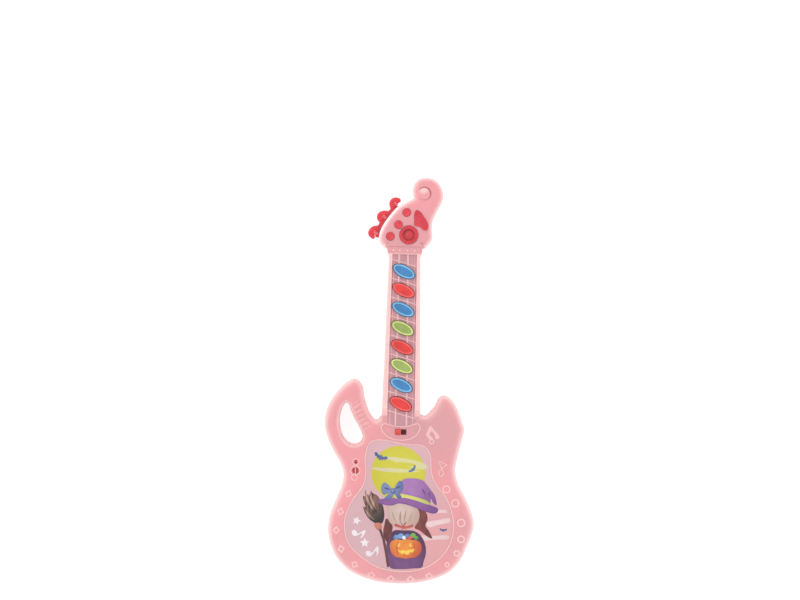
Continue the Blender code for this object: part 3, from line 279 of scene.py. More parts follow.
# ================================================================ outlines
def smooth_path(anchors, per_span=FINE, closed=True):
    """Points of a centripetal Catmull-Rom curve through the anchors."""
    points = [Vector(a) for a in anchors]
    count = len(points)
    spans = count if closed else count - 1
    path = []
    for i in range(spans):
        if closed:
            p0, p1, p2, p3 = (points[(i + k) % count] for k in (-1, 0, 1, 2))
        else:
            p1, p2 = points[i], points[i + 1]
            p0 = points[i - 1] if i > 0 else 2 * p1 - p2
            p3 = points[i + 2] if i + 2 < count else 2 * p2 - p1
        t1 = (p1 - p0).length ** 0.5
        t2 = t1 + (p2 - p1).length ** 0.5
        t3 = t2 + (p3 - p2).length ** 0.5
        for k in range(per_span):
            t = t1 + (t2 - t1) * k / per_span
            a1 = p0.lerp(p1, t / t1)
            a2 = p1.lerp(p2, (t - t1) / (t2 - t1))
            a3 = p2.lerp(p3, (t - t2) / (t3 - t2))
            b1 = a1.lerp(a2, t / t2)
            b2 = a2.lerp(a3, (t - t1) / (t3 - t1))
            path.append(b1.lerp(b2, (t - t1) / (t2 - t1)))
    if not closed:
        path.append(points[-1])
    return path


def offset_loop(loop, distance):
    """Moves a counter-clockwise loop inward by distance, or outward when it is negative."""
    count = len(loop)
    moved = []
    for i, point in enumerate(loop):
        before = (point - loop[i - 1]).normalized()
        after = (loop[(i + 1) % count] - point).normalized()
        n1 = Vector((-before.y, before.x))
        n2 = Vector((-after.y, after.x))
        mitre = (n1 + n2) / max(1.0 + n1.dot(n2), 0.7)
        moved.append(point + mitre * distance)
    return moved


def crossing(p, q, r, s):
    """The point where segment p-q crosses segment r-s, or None."""
    along, other = q - p, s - r
    area = along.x * other.y - along.y * other.x
    if abs(area) < 1e-9:
        return None
    gap = r - p
    t = (gap.x * other.y - gap.y * other.x) / area
    u = (gap.x * along.y - gap.y * along.x) / area
    return p + along * t if 0.0 < t < 1.0 and 0.0 < u < 1.0 else None


def inset(loop, distance, reach=14):
    """Moves a loop inward and gathers every small loop that it makes into one point."""
    moved = offset_loop(loop, distance)
    count = len(moved)
    for i in range(count):
        for step in range(min(reach, count - 3), 1, -1):
            j = (i + step) % count
            meeting = crossing(moved[i], moved[(i + 1) % count], moved[j],
                               moved[(j + 1) % count])
            if meeting:
                for k in range(1, step + 1):
                    moved[(i + k) % count] = meeting
                break
    return moved


def ellipse(centre, size, segments, tilt=0.0):
    """A counter-clockwise oval with full axes size, its long axis turned by tilt."""
    turn = Matrix.Rotation(tilt, 2)
    loop = []
    for k in range(segments):
        angle = 2 * math.pi * k / segments
        local = Vector((0.5 * size[0] * math.cos(angle), 0.5 * size[1] * math.sin(angle)))
        loop.append(Vector(centre) + turn @ local)
    return loop


def circle(centre, radius, segments):
    """A counter-clockwise circle."""
    return ellipse(centre, (2 * radius, 2 * radius), segments)


def rectangle(centre, size):
    """A counter-clockwise rectangle."""
    x, y = centre
    half_x, half_y = 0.5 * size[0], 0.5 * size[1]
    return [Vector((x + sx * half_x, y + sy * half_y))
            for sx, sy in ((-1, -1), (1, -1), (1, 1), (-1, 1))]


def box_loop(x0, x1, y0, y1):
    """A rectangle given by its limits."""
    return rectangle(((x0 + x1) / 2, (y0 + y1) / 2), (x1 - x0, y1 - y0))


def counter_clockwise(points):
    """The points as vectors, in counter-clockwise order."""
    loop = [Vector(p) for p in points]
    area = sum(p.x * q.y - q.x * p.y for p, q in zip(loop, loop[1:] + loop[:1]))
    return loop if area > 0 else loop[::-1]


def smooth_loop(points, per_span):
    """A smooth counter-clockwise loop through points given in either direction."""
    return smooth_path(counter_clockwise(points), per_span)


def head_loop(per_span=FINE):
    """The headstock's outline, with its sharp notch under the scroll."""
    right = smooth_path(HEAD_RIGHT_ANCHORS[2:], per_span, closed=False)
    left = smooth_path(HEAD_LEFT_ANCHORS, per_span, closed=False)
    return right[:-1] + left[:-1] + [Vector(p) for p in HEAD_RIGHT_ANCHORS[:2]]


def neck_half(y):
    """Half the neck's width at y."""
    t = (y - NECK_START_Y) / (NECK_END_Y - NECK_START_Y)
    return NECK_HALF_START + (NECK_HALF_END - NECK_HALF_START) * t


def key_centre(index):
    """Plan position of a key's centre."""
    return (KEY_X, KEY_FIRST_Y - index * KEY_PITCH)


def diamond_loop(x, y, body):
    """A diamond that stands on its corner, long way along the nearest edge of the body."""
    centre = Vector((x, y))
    across, along = DIAMOND_HALF
    outward = (min(body, key=lambda p: (p - centre).length) - centre).normalized()
    side = Vector((-outward.y, outward.x))
    corners = [centre + v for v in (outward * across, side * along, -outward * across,
                                    -side * along)]
    loop = []
    for i, corner in enumerate(corners):
        for other in (corners[i - 1], corners[(i + 1) % 4]):
            loop.append(corner.lerp(other, 0.07))
    return loop


def plate_loop():
    """The red trim's carrier plate: a strip outside the headstock's edge and a tab inside."""
    outer = smooth_path(STRIP_OUTER, closed=False)
    return counter_clockwise(outer + [Vector(p) for p in PLATE_INNER])


# ================================================================ meshes
def loft(bm, rings, closed=False):
    """Joins rings of equal length with quads, and closes both ends or joins them."""
    rows = [[bm.verts.new(p) for p in ring] for ring in rings]
    count = len(rings[0])
    pairs = list(zip(rows, rows[1:]))
    if closed:
        pairs.append((rows[-1], rows[0]))
    faces = []
    for low, high in pairs:
        for i in range(count):
            j = (i + 1) % count
            faces.append(bm.faces.new((low[i], low[j], high[j], high[i])))
    if not closed:
        faces.append(bm.faces.new(rows[0]))
        faces.append(bm.faces.new(rows[-1]))
    return faces


def prism(bm, loop, low, high):
    """A plan outline extruded from low to high."""
    return loft(bm, [[(p[0], p[1], z) for p in loop] for z in (low, high)])


def pillow(bm, loop, low, high, low_edge, high_edge, steps=EDGE_STEPS):
    """A plan outline extruded from low to high; an edge is how far it rounds (across, down)."""
    rings = []
    for (across, down), z, up in ((low_edge, low, 1), (high_edge, high, -1)):
        rows = []
        for k in range(steps + 1):
            angle = 0.5 * math.pi * k / steps
            height = z + up * down * (1 - math.sin(angle))
            ring = inset(loop, across * (1 - math.cos(angle)))
            rows.append([(p.x, p.y, height) for p in ring])
        rings += rows[::-1] if up > 0 else rows
    return loft(bm, rings)


def turned(bm, centre, profile, segments=40):
    """A solid turned about a vertical line: profile lists (radius, z) from foot to top."""
    return loft(bm, [[(p.x, p.y, z) for p in circle(centre, r, segments)]
                     for r, z in profile])


def round_profile(width, foot, top, steps=6):
    """Half-round section as (offset, z): up one side, over the top and down the other."""
    half = width / 2
    height = min(half, 0.45)
    points = [(0.0, foot)]
    for k in range(steps + 1):
        angle = math.pi * k / steps
        points.append((half - half * math.cos(angle), top - height + height * math.sin(angle)))
    return points + [(width, foot)]


def edge_drop(point, body):
    """How far the body's rounded edge has fallen below the front face at a plan point."""
    nearest = []
    for start, end in zip(body, body[1:] + body[:1]):
        foot, t = intersect_point_line(point, start, end)
        foot = foot if 0.0 <= t <= 1.0 else (start if t < 0.0 else end)
        nearest.append((foot.xy - point).length)
    across, down = BODY_EDGE
    cosine = 1.0 - min(min(nearest) / across, 1.0)
    return down * (1.0 - math.sqrt(1.0 - cosine * cosine))


def bead(bm, loop, width=BEAD_WIDTH, foot=BEAD_FOOT, top=RELIEF_TOP, body=None):
    """A raised line just inside a closed outline; it follows the rounded edge of body."""
    rings = []
    for inward, z in round_profile(width, foot, top):
        ring = []
        for p in inset(loop, inward):
            drop = edge_drop(p, body) if body and z > foot else 0.0
            ring.append((p.x, p.y, max(z - drop, foot)))
        rings.append(ring)
    return loft(bm, rings, closed=True)


def rib(bm, start, end, width, foot, top):
    """A straight raised line with a rounded top."""
    start, end = Vector(start), Vector(end)
    along = (end - start).normalized()
    side = Vector((-along.y, along.x))
    rings = []
    for p in (start, end):
        ring = []
        for across, z in round_profile(width, foot, top):
            q = p + side * (across - width / 2)
            ring.append((q.x, q.y, z))
        rings.append(ring)
    return loft(bm, rings)


def new_object(name, data):
    """A new object in the scene."""
    obj = bpy.data.objects.new(name, data)
    bpy.context.scene.collection.objects.link(obj)
    return obj


def solid(name, *parts):
    """An object in metres in the frame, from parts (maker, *values) in plan millimetres."""
    bm = bmesh.new()
    for maker, *values in parts:
        maker(bm, *values)
    bmesh.ops.remove_doubles(bm, verts=bm.verts, dist=MERGE / MM)
    bmesh.ops.recalc_face_normals(bm, faces=bm.faces)
    bmesh.ops.translate(bm, vec=(0, -ORIGIN_Y, 0), verts=bm.verts)
    bmesh.ops.scale(bm, vec=(MM, MM, MM), verts=bm.verts)
    mesh = bpy.data.meshes.new(name)
    bm.to_mesh(mesh)
    bm.free()
    return new_object(name, mesh)


def combine(target, tool, operation):
    """Applies one exact Boolean to target and removes the tool."""
    modifier = target.modifiers.new("cut", "BOOLEAN")
    modifier.operation = operation
    modifier.solver = "EXACT"
    modifier.object = tool
    depsgraph = bpy.context.evaluated_depsgraph_get()
    result = bpy.data.meshes.new_from_object(target.evaluated_get(depsgraph))
    target.modifiers.clear()
    target.data = result
    bpy.data.objects.remove(tool, do_unlink=True)
    return target


def add(target, *parts):
    """Fuses parts that don't overlap each other into target."""
    return combine(target, solid("tool", *parts), "UNION")


def cut(target, *parts):
    """Cuts parts that don't overlap each other out of target."""
    return combine(target, solid("tool", *parts), "DIFFERENCE")


def paint(obj, index, chosen):
    """Gives one material to every face whose centre, in plan millimetres, is chosen."""
    for polygon in obj.data.polygons:
        x, y, z = polygon.center / MM
        if chosen(x, y + ORIGIN_Y, z, polygon.normal.z):
            polygon.material_index = index


def place(obj, materials, body, slot, *nodes, angle_deg=32):
    """Cleans a finished piece, gives it its materials, ties it to its body and hides the CAD nodes
    it stands in for.
    """
    bm = bmesh.new()
    bm.from_mesh(obj.data)
    bmesh.ops.remove_doubles(bm, verts=bm.verts, dist=MERGE)
    bmesh.ops.dissolve_degenerate(bm, edges=bm.edges, dist=MERGE / 2)
    bm.to_mesh(obj.data)
    bm.free()
    obj.data.shade_smooth()
    obj.data.set_sharp_from_angle(angle=math.radians(angle_deg))
    weighted = obj.modifiers.new("normals", "WEIGHTED_NORMAL")
    weighted.keep_sharp = True
    weighted.weight = 90
    indices = [polygon.material_index for polygon in obj.data.polygons]
    obj.data.materials.clear()
    for mat in materials:
        obj.data.materials.append(mat)
    obj.data.polygons.foreach_set("material_index", indices)
    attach(obj, body)
    if nodes:
        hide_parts(*nodes)
    return obj


# ================================================================ materials
class Look:
    """A Principled material that is being wired up, with texture space in metres."""

    def __init__(self, name, roughness=0.35, metallic=0.0, subsurface=0.0, coat=0.0):
        self.mat = bpy.data.materials.new(name)
        self.mat.use_nodes = True
        self.tree = self.mat.node_tree
        self.shader = self.tree.nodes["Principled BSDF"]
        self.place = self.tree.nodes.new("ShaderNodeTexCoord")
        self.fill(self.shader, {"Roughness": roughness, "Metallic": metallic,
                                "Coat Weight": coat})
        if subsurface:
            self.fill(self.shader, {"Subsurface Weight": subsurface, "Subsurface Scale": 0.0025,
                                    "Subsurface Radius": (1.0, 0.55, 0.5)})

    def fill(self, node, sockets):
        """Links values to a node's sockets, or stores them there when they are constants."""
        for key, value in sockets.items():
            socket = node.inputs[key]
            if isinstance(value, bpy.types.NodeSocket):
                self.tree.links.new(value, socket)
            else:
                socket.default_value = (*value, 1.0) if socket.type == "RGBA" else value

    def node(self, kind, sockets, **settings):
        """A new node with its settings and its sockets filled."""
        new = self.tree.nodes.new("ShaderNode" + kind)
        for key, value in settings.items():
            setattr(new, key, value)
        self.fill(new, sockets)
        return new

    def noise(self, scale, detail=3.0, stretch=(1.0, 1.0, 1.0)):
        """Noise in the piece's own space; scale counts features for each metre."""
        mapping = self.node("Mapping", {"Scale": stretch, "Vector": self.place.outputs["Object"]})
        return self.node("TexNoise", {"Vector": mapping.outputs["Vector"], "Scale": scale,
                                      "Detail": detail}).outputs["Fac"]

    def spread(self, value, low, high, to_low=0.0, to_high=1.0):
        """Maps value from low..high to to_low..to_high, held at both ends."""
        return self.node("MapRange", {"Value": value, "From Min": low, "From Max": high,
                                      "To Min": to_low, "To Max": to_high},
                         interpolation_type="SMOOTHSTEP").outputs["Result"]

    def maths(self, operation, first, second):
        """One maths node."""
        return self.node("Math", {0: first, 1: second}, operation=operation).outputs[0]

    def mix(self, share, first, second):
        """A colour between first and second."""
        return self.node("Mix", {"Factor": share, 6: first, 7: second},
                         data_type="RGBA").outputs[2]

    def axis(self, space, letter):
        """One axis of the frame's position in metres ("Object") or of the surface's normal."""
        return self.node("SeparateXYZ", {0: self.place.outputs[space]}).outputs[letter]

    def slope(self):
        """1 where the surface faces up or down and 0 where it stands upright."""
        return self.maths("ABSOLUTE", self.axis("Normal", "Z"), 0.0)

    def patch(self, centre, radius, full, share=1.0):
        """share round a plan point, falling to 0 at radius mm; full is where it stops rising."""
        x, y = centre
        mapping = self.node("Mapping", {
            "Location": (x * MM, (y - ORIGIN_Y) * MM, 0.0),
            "Scale": (radius * MM, radius * MM, 1.0),
            "Vector": self.place.outputs["Object"]}, vector_type="TEXTURE")
        ball = self.node("TexGradient", {"Vector": mapping.outputs["Vector"]},
                         gradient_type="SPHERICAL")
        return self.spread(ball.outputs["Fac"], 0.0, full, 0.0, share)

    def finish(self, colour, grain, depth, rough_low, rough_high):
        """Sets the base colour, a shallow bump from the grain and an uneven roughness."""
        if isinstance(grain, float):
            grain = self.noise(grain, 4.0)
        bump = self.node("Bump", {"Strength": 0.35, "Distance": depth, "Height": grain})
        self.fill(self.shader, {
            "Base Color": colour, "Normal": bump.outputs["Normal"],
            "Roughness": self.spread(self.noise(220.0), 0.35, 0.65, rough_low, rough_high)})
        return self.mat


def pink_plastic(name, relief=True, edge_share=0.85):
    """Milky pink moulding: paler on rounded edges and raised lines as a painted highlight, and
    greyer in broad faces as painted shade.
    """
    look = Look(name, subsurface=0.45, coat=0.08)
    shade = look.mix(look.spread(look.noise(24.0, 2.0), 0.42, 0.75, 0.0, 0.55), PINK, PINK_GREY)
    # Painted shade: broad faces over the dark hollow inside turn greyer in these patches.
    for patch in PAINTED_SHADE_PATCHES:
        shade = look.mix(look.patch(*patch), shade, PINK_GREY)
    slope = look.slope()
    # Painted highlight: rounded edges turn pale, upright walls less so.
    edge = look.maths("MULTIPLY", look.spread(slope, 0.999, 0.74, 0.0, edge_share),
                      look.spread(slope, 0.08, 0.5, 0.35, 1.0))
    shade = look.mix(edge, shade, PINK_HIGHLIGHT)
    if relief:
        # Painted highlight on the raised lines and rails of the body and neck, and a near-white
        # painted highlight along the headstock's left lip.
        z = look.axis("Object", "Z")
        low = look.spread(z, 0.0261, 0.0265, 0.0, 0.62)
        rails = look.maths("MULTIPLY", look.spread(z, 0.0269, 0.0275, 0.0, 0.38),
                           look.spread(z, 0.0278, 0.0277))
        body_only = look.spread(look.axis("Object", "Y"), 0.2025, 0.2022)
        raised = look.maths("MULTIPLY", look.maths("ADD", low, rails), body_only)
        lip = look.maths("MULTIPLY", edge, look.patch((-18.0, 263.0), 24.0, 0.5))
        shade = look.mix(lip, look.mix(raised, shade, PINK_HIGHLIGHT), PINK_LIP_HIGHLIGHT)
    return look.finish(shade, *MILKY_FINISH)


def fretboard_pink():
    """The matt, greyer floor between the rails, darker as painted shade down in the recess, with
    faint mould marks along the neck.
    """
    look = Look("fretboard_pink", subsurface=0.3)
    streaks = look.spread(look.noise(90.0, 3.0, (3.0, 0.3, 1.0)), 0.3, 0.7, 0.0, 0.55)
    return look.finish(look.mix(streaks, PINK_SHADED_FLOOR, PINK_GREY), 1900.0, 0.00003, 0.42, 0.55)


def scroll_pink():
    """The scroll's disc, palest along its top as a painted highlight, and the darker groove round
    it, painted shade.
    """
    look = Look("scroll_pink", subsurface=0.4, coat=0.08)
    # Painted shade: the groove is darkest towards its upper right.
    groove = look.mix(look.patch((20.0, 288.6), 12.0, 0.75), srgb(236, 152, 160),
                      srgb(204, 112, 124))
    # Painted highlight: the disc is palest near its top.
    disc = look.mix(look.patch((14.8, 288.2), 6.4, 0.7, 0.9), PINK, PINK_HIGHLIGHT)
    on_disc = look.spread(look.axis("Object", "Z"), 0.02745, 0.02775)
    return look.finish(look.mix(on_disc, groove, disc), *MILKY_FINISH)


def raised_pink():
    """A painted highlight: the pale tops of the border's rings and diamonds."""
    look = Look("raised_pink", subsurface=0.45, coat=0.08)
    tone = look.mix(look.spread(look.noise(24.0), 0.35, 0.65), srgb(248, 193, 194),
                    srgb(252, 202, 202))
    return look.finish(tone, *MILKY_FINISH)


def plastic(name, face, pale, deep=None):
    """Coloured moulded plastic: a painted highlight makes its rounded edges paler than its faces.
    """
    look = Look(name, subsurface=0.25, coat=0.15)
    face = srgb(*face)
    deep = srgb(*deep) if deep else tuple(0.82 * v for v in face)
    body = look.mix(look.spread(look.noise(120.0, 2.0), 0.3, 0.7), face, deep)
    # Painted highlight on rounded edges and upright walls; for the key dishes the darker edge tone
    # is painted shade.
    edge = look.spread(look.slope(), 0.985, 0.6, 0.0, 0.8)
    return look.finish(look.mix(edge, body, srgb(*pale)), 1700.0, 0.000015, 0.25, 0.36)


def steel():
    """Zinc-plated steel with fine turning marks and a slightly cloudy passivation."""
    look = Look("zinc_steel", metallic=1.0)
    tone = look.mix(look.spread(look.noise(160.0), 0.3, 0.7), srgb(188, 190, 190),
                    srgb(160, 162, 158))
    return look.finish(tone, look.noise(900.0, 3.0, (1.0, 1.0, 9.0)), 0.00002, 0.24, 0.42)


def circuit_board():
    """Green solder mask over copper tracks that show as a paler grid."""
    look = Look("board_mask", coat=0.3)
    tracks = look.node("TexBrick", {
        "Vector": look.place.outputs["Object"], "Scale": 120.0, "Mortar Size": 0.03,
        "Color1": srgb(34, 96, 58), "Color2": srgb(30, 88, 52), "Mortar": srgb(70, 138, 84)},
        offset=0.37, squash=1.6)
    return look.finish(tracks.outputs["Color"], 1200.0, 0.00002, 0.3, 0.45)


def mottled(name, first, second, scale, roughness, depth, metallic=0.0):
    """A plain material with two close tones and its own grain."""
    look = Look(name, metallic=metallic)
    tone = look.mix(look.spread(look.noise(scale), 0.35, 0.65), srgb(*first), srgb(*second))
    return look.finish(tone, 6 * scale, depth, roughness - 0.06, roughness + 0.06)


def ink(name, centre, radius, inner, outer, streak=0.0):
    """Printed colour that changes from inner at a plan point to outer at radius."""
    look = Look("ink_" + name, coat=0.25)
    inner, outer = srgb(*inner), srgb(*outer)
    toned = look.mix(look.patch(centre, radius, 0.85), outer, inner)
    if streak:
        lines = look.spread(look.noise(420.0, 2.0, (1.0, 0.22, 1.0)), 0.4, 0.62, 0.0, streak)
        toned = look.mix(lines, toned, tuple(0.5 * v for v in outer))
    else:
        toned = look.mix(look.spread(look.noise(150.0), 0.3, 0.7, 0.0, 0.25), toned, outer)
    return look.finish(toned, 2600.0, 0.000008, 0.34, 0.44)


def label_base():
    """The label's printed ground: mauve-grey above, pinker towards its lower right."""
    look = Look("label_ground", coat=0.25)
    low = look.mix(look.patch((34.0, -12.0), 62.0, 0.8), srgb(216, 175, 180),
                   srgb(228, 163, 166))
    toned = look.mix(look.patch((0.0, 76.0), 52.0, 0.9), low, srgb(222, 178, 184))
    tone = look.mix(look.spread(look.noise(60.0), 0.3, 0.7, 0.0, 0.3), toned,
                    srgb(208, 165, 172))
    return look.finish(tone, 2600.0, 0.000008, 0.32, 0.42)


# ================================================================ shells
def neck_section(half_width, back, top, radius):
    """The neck's cross-section as (x, z): flat sides, a rounded back and rounded rails."""
    shoulder = back + NECK_SIDE_RISE
    corner = [(radius * (1 - math.cos(a)), radius * (1 - math.sin(a)))
              for a in (0.5 * math.pi * k / 4 for k in range(4, -1, -1))]
    section = [(-half_width + dx, top - dz) for dx, dz in corner]
    for k in range(1, 20):
        angle = math.pi * k / 20
        section.append((-half_width * math.cos(angle),
                        shoulder - (shoulder - back) * math.sin(angle) ** 0.7))
    section += [(half_width - dx, top - dz) for dx, dz in reversed(corner)]
    return section


def neck_solid(bm, radius, *stations):
    """A neck solid through stations of (y, half width, back z, top z)."""
    return loft(bm, [[(x, y, z) for x, z in neck_section(half, back, top, radius)]
                     for y, half, back, top in stations])


def hole_solid(bm):
    """The grip hole with flared, rounded rims."""
    loop = smooth_path(GRIP_HOLE_ANCHORS)
    lower = []
    for k in range(EDGE_STEPS + 1):
        angle = 0.5 * math.pi * k / EDGE_STEPS
        flare = offset_loop(loop, -HOLE_EDGE_RADIUS * (1 - math.sin(angle)))
        lower.append([(p.x, p.y, HOLE_EDGE_RADIUS * (1 - math.cos(angle))) for p in flare])
    upper = [[(x, y, FRONT_Z - z) for x, y, z in ring] for ring in reversed(lower)]
    foot = [(x, y, -1.0) for x, y, z in lower[0]]
    top = [(x, y, FRONT_Z + 1.0) for x, y, z in upper[-1]]
    return loft(bm, [foot, *lower, *upper, top])


def outer_solid():
    """The whole guitar as one solid: body, neck, nut block and headstock, with the grip hole."""
    whole = solid("outer", (pillow, smooth_path(BODY_ANCHORS), 0.0, FRONT_Z, BODY_EDGE, BODY_EDGE))
    ramp_foot_z, ramp_end_y = RAIL_RAMP
    add(whole, (neck_solid, 1.1, (NECK_START_Y, NECK_HALF_START, NECK_BACK_Z, ramp_foot_z),
                (ramp_end_y, neck_half(ramp_end_y), NECK_BACK_Z, RAIL_TOP_Z),
                (NECK_END_Y, NECK_HALF_END, NECK_BACK_Z, RAIL_TOP_Z)))
    add(whole, (neck_solid, 0.8,
                (NECK_END_Y - 4, NECK_HALF_END - 0.4, NECK_BACK_Z + 0.3, NUT_TOP_Z),
                (NECK_END_Y + 0.6, NECK_HALF_END + 1.1, NECK_BACK_Z + 0.5, NUT_TOP_Z),
                (NUT_END_Y, NUT_HALF_END, NECK_BACK_Z + 2.6, NUT_TOP_Z)))
    add(whole, (pillow, head_loop(), HEAD_BACK_Z, HEAD_FRONT_Z, HEAD_EDGE, HEAD_EDGE))
    return cut(whole, (hole_solid,))


def inner_solid():
    """The hollow inside both shells."""
    edge, head_edge = (2.6, 1.8), (1.6, 1.2)
    inside = solid("inside", (pillow, offset_loop(smooth_path(BODY_ANCHORS, 1), WALL), WALL,
                             CEILING_Z, edge, edge, 1))
    cut(inside, (prism, offset_loop(smooth_path(GRIP_HOLE_ANCHORS, 1), -WALL), -1, FRONT_Z + 1))
    back, start = NECK_BACK_Z + WALL, NECK_START_Y - 3
    add(inside, (neck_solid, 0.3, (start, neck_half(start) - WALL, back, NECK_CEILING_Z),
                 (NECK_END_Y - 3, NECK_HALF_END - WALL, back, NECK_CEILING_Z),
                 (NUT_END_Y + 2, NUT_HALF_END - WALL - 1.2, back + 2.8, NECK_CEILING_Z)))
    return add(inside, (pillow, offset_loop(head_loop(1), WALL + 0.2), HEAD_BACK_Z + WALL,
                        HEAD_CEILING_Z, head_edge, head_edge, 1))


def duplicate(obj):
    """A second object with its own copy of the mesh."""
    twin = obj.copy()
    twin.data = obj.data.copy()
    bpy.context.scene.collection.objects.link(twin)
    return twin


def half_shell(name, whole, hollow, low, high):
    """The slice of the whole guitar between two heights, with the hollow taken out."""
    whole.name = name
    half = solid("half", (prism, box_loop(*ALL_X, *ALL_Y), low, high))
    combine(whole, half, "INTERSECT")
    return combine(whole, hollow, "DIFFERENCE")


def fret_recess(bm):
    """The fretboard recess, whose walls flare a little at the rails' inner edges."""
    rings = []
    for y, half in ((FRET_FLOOR_START_Y, RECESS_HALF_START), (NECK_END_Y - GAP, RECESS_HALF_END)):
        left = [(-half - flare, y, z) for flare, z in
                ((0.0, FRET_FLOOR_Z), (0.0, 27.0), (0.15, 27.35), (0.5, 27.62), (0.5, 32.0))]
        rings.append(left + [(-x, row, z) for x, row, z in reversed(left)])
    return loft(bm, rings)


def rail_grooves(bm):
    """A shallow groove along each rail."""
    for side in (-1, 1):
        rings = []
        for y in (RAIL_RAMP[1] + 1.0, NECK_END_Y - 0.9):
            t = (y - NECK_START_Y) / (NECK_END_Y - NECK_START_Y)
            inner = RECESS_HALF_START + (RECESS_HALF_END - RECESS_HALF_START) * t
            centre = side * (0.46 * neck_half(y) + 0.54 * inner)
            rings.append([(centre + 0.55 * math.cos(math.pi * k / 8), y,
                           RAIL_TOP_Z + 0.1 - 0.45 * math.sin(math.pi * k / 8))
                          for k in range(9)])
        loft(bm, rings)


def flutes(bm):
    """Shallow rounded grooves across the grip."""
    for k in range(FLUTE_COUNT):
        start, end = (Vector(first).lerp(Vector(last), k / (FLUTE_COUNT - 1))
                      for first, last in zip(FLUTE_FIRST, FLUTE_LAST))
        side = (end - start).orthogonal().normalized()
        rings = []
        for p in (start, end):
            arc = [(p + side * 1.75 * math.cos(a), math.sin(a))
                   for a in (math.pi * step / 12 for step in range(13))]
            rings.append([(q.x, q.y, FRONT_Z + 0.25 - 1.05 * rise) for q, rise in arc])
        loft(bm, rings)


def cut_face(shell):
    """Cuts the recesses of the front face."""
    panel, kidney = (offset_loop(smooth_path(anchors), BEAD_WIDTH / 2)
                     for anchors in (PANEL_ANCHORS, KIDNEY_ANCHORS))
    cut(shell, (prism, panel, PANEL_FLOOR_Z, ABOVE_FACE),
        (prism, kidney, KIDNEY_FLOOR_Z, ABOVE_FACE), (flutes,))
    nut_groove = box_loop(-NUT_GROOVE_HALF, NUT_GROOVE_HALF, *NUT_GROOVE_Y)
    cut(shell, (fret_recess,), (rail_grooves,),
        (prism, nut_groove, NUT_TOP_Z - 0.45, HEAD_FRONT_Z + 1))


def stud_bead(bm, loop, body):
    """The raised outline of one of the border's rings or diamonds."""
    bead(bm, loop, STUD_BEAD_WIDTH, STUD_FOOT, STUD_RELIEF_TOP, body)


def fret(bm, index):
    """One fret across the fretboard."""
    centre = Vector((KEY_X, FRET_FIRST_Y - index * KEY_PITCH))
    reach = Matrix.Rotation(FRET_TILT, 2) @ Vector((FRET_HALF, 0.0))
    rib(bm, centre - reach, centre + reach, 1.0, NECK_CEILING_Z + 0.5, FRET_TOP_Z)


def string(bm, index, x0, x1):
    """One string rib; the two outer strings are thinner and lower."""
    width, top = (1.5, STRING_TOP_Z) if 0 < index < 3 else (0.7, STRING_TOP_Z - 0.25)
    rib(bm, (x0, FRET_FLOOR_START_Y + 2.0), (x1, NECK_END_Y + 0.6), width,
        NECK_CEILING_Z + 0.6, top)


def add_relief(shell):
    """Adds the raised rims, rings, diamonds, notes, clef, strings and frets."""
    body = smooth_path(BODY_ANCHORS)
    add(shell, (bead, smooth_path(PANEL_ANCHORS)),
        *[(stud_bead, circle((x, y), radius, 40), body) for x, y, radius in BORDER_RINGS],
        *[(stud_bead, diamond_loop(x, y, body), body) for x, y in BORDER_DIAMONDS],
        (pillow, smooth_loop(BEAM_NOTE, 2), BEAD_FOOT, RELIEF_TOP, (0.0, 0.1), (0.5, 0.45), 4),
        (bead, smooth_loop(FLAG_NOTE, 3), 0.9),
        *[(bead, ellipse((x, y), (2 * radius, 2.15 * radius), 36), 0.9)
          for x, y, radius in (CLEF_TOP[:3], CLEF_FOOT)],
        *[(string, k, *ends) for k, ends in enumerate(STRINGS)])
    x, y, radius = CLEF_MIDDLE[:3]
    crossing_top = RELIEF_TOP - 0.03
    top = HEAD_FRONT_Z
    add(shell, (bead, smooth_path(KIDNEY_ANCHORS)), (bead, circle((x, y), radius, 44), 0.85),
        *[(bead, ellipse(head[:2], head[2:], 30), width, BEAD_FOOT, crossing_top)
          for head, width in ((FLAG_HEAD, 0.9), (BEAM_HEAD, 1.25))],
        *[(fret, k) for k in range(FRET_COUNT)],
        *[(turned, dot, [(0.8, NECK_CEILING_Z + 0.7), (0.8, NUT_TOP_Z + 0.1),
                         (0.65, NUT_TOP_Z + 0.4), (0.3, NUT_TOP_Z + 0.55)], 16)
          for dot in NUT_DOTS],
        (turned, SCROLL_CENTRE, [
            (SCROLL_DISC, top - 2.0), (SCROLL_DISC, top - 0.1), (SCROLL_DISC - 0.15, top + 0.12),
            (SCROLL_DISC - 0.5, top + 0.28), (SCROLL_DISC - 1.1, top + 0.36), (2.4, top + 0.42),
            (0.8, top + 0.44)], 56))


def scroll_groove(bm):
    """A crescent groove round the scroll's disc, widest towards its upper right."""
    inner, outer, steps = [], [], 44
    for k in range(steps + 1):
        angle = math.radians(-140.0 + 290.0 * k / steps)
        width = 0.12 + 1.0 * max(0.0, math.cos(0.6 * (angle - math.radians(42.0))))
        ray = Vector((math.cos(angle), math.sin(angle)))
        inner.append(Vector(SCROLL_CENTRE) + ray * SCROLL_DISC)
        outer.append(Vector(SCROLL_CENTRE) + ray * (SCROLL_DISC + width))
    return prism(bm, outer + inner[::-1], SCROLL_GROOVE_Z, ABOVE_HEAD)


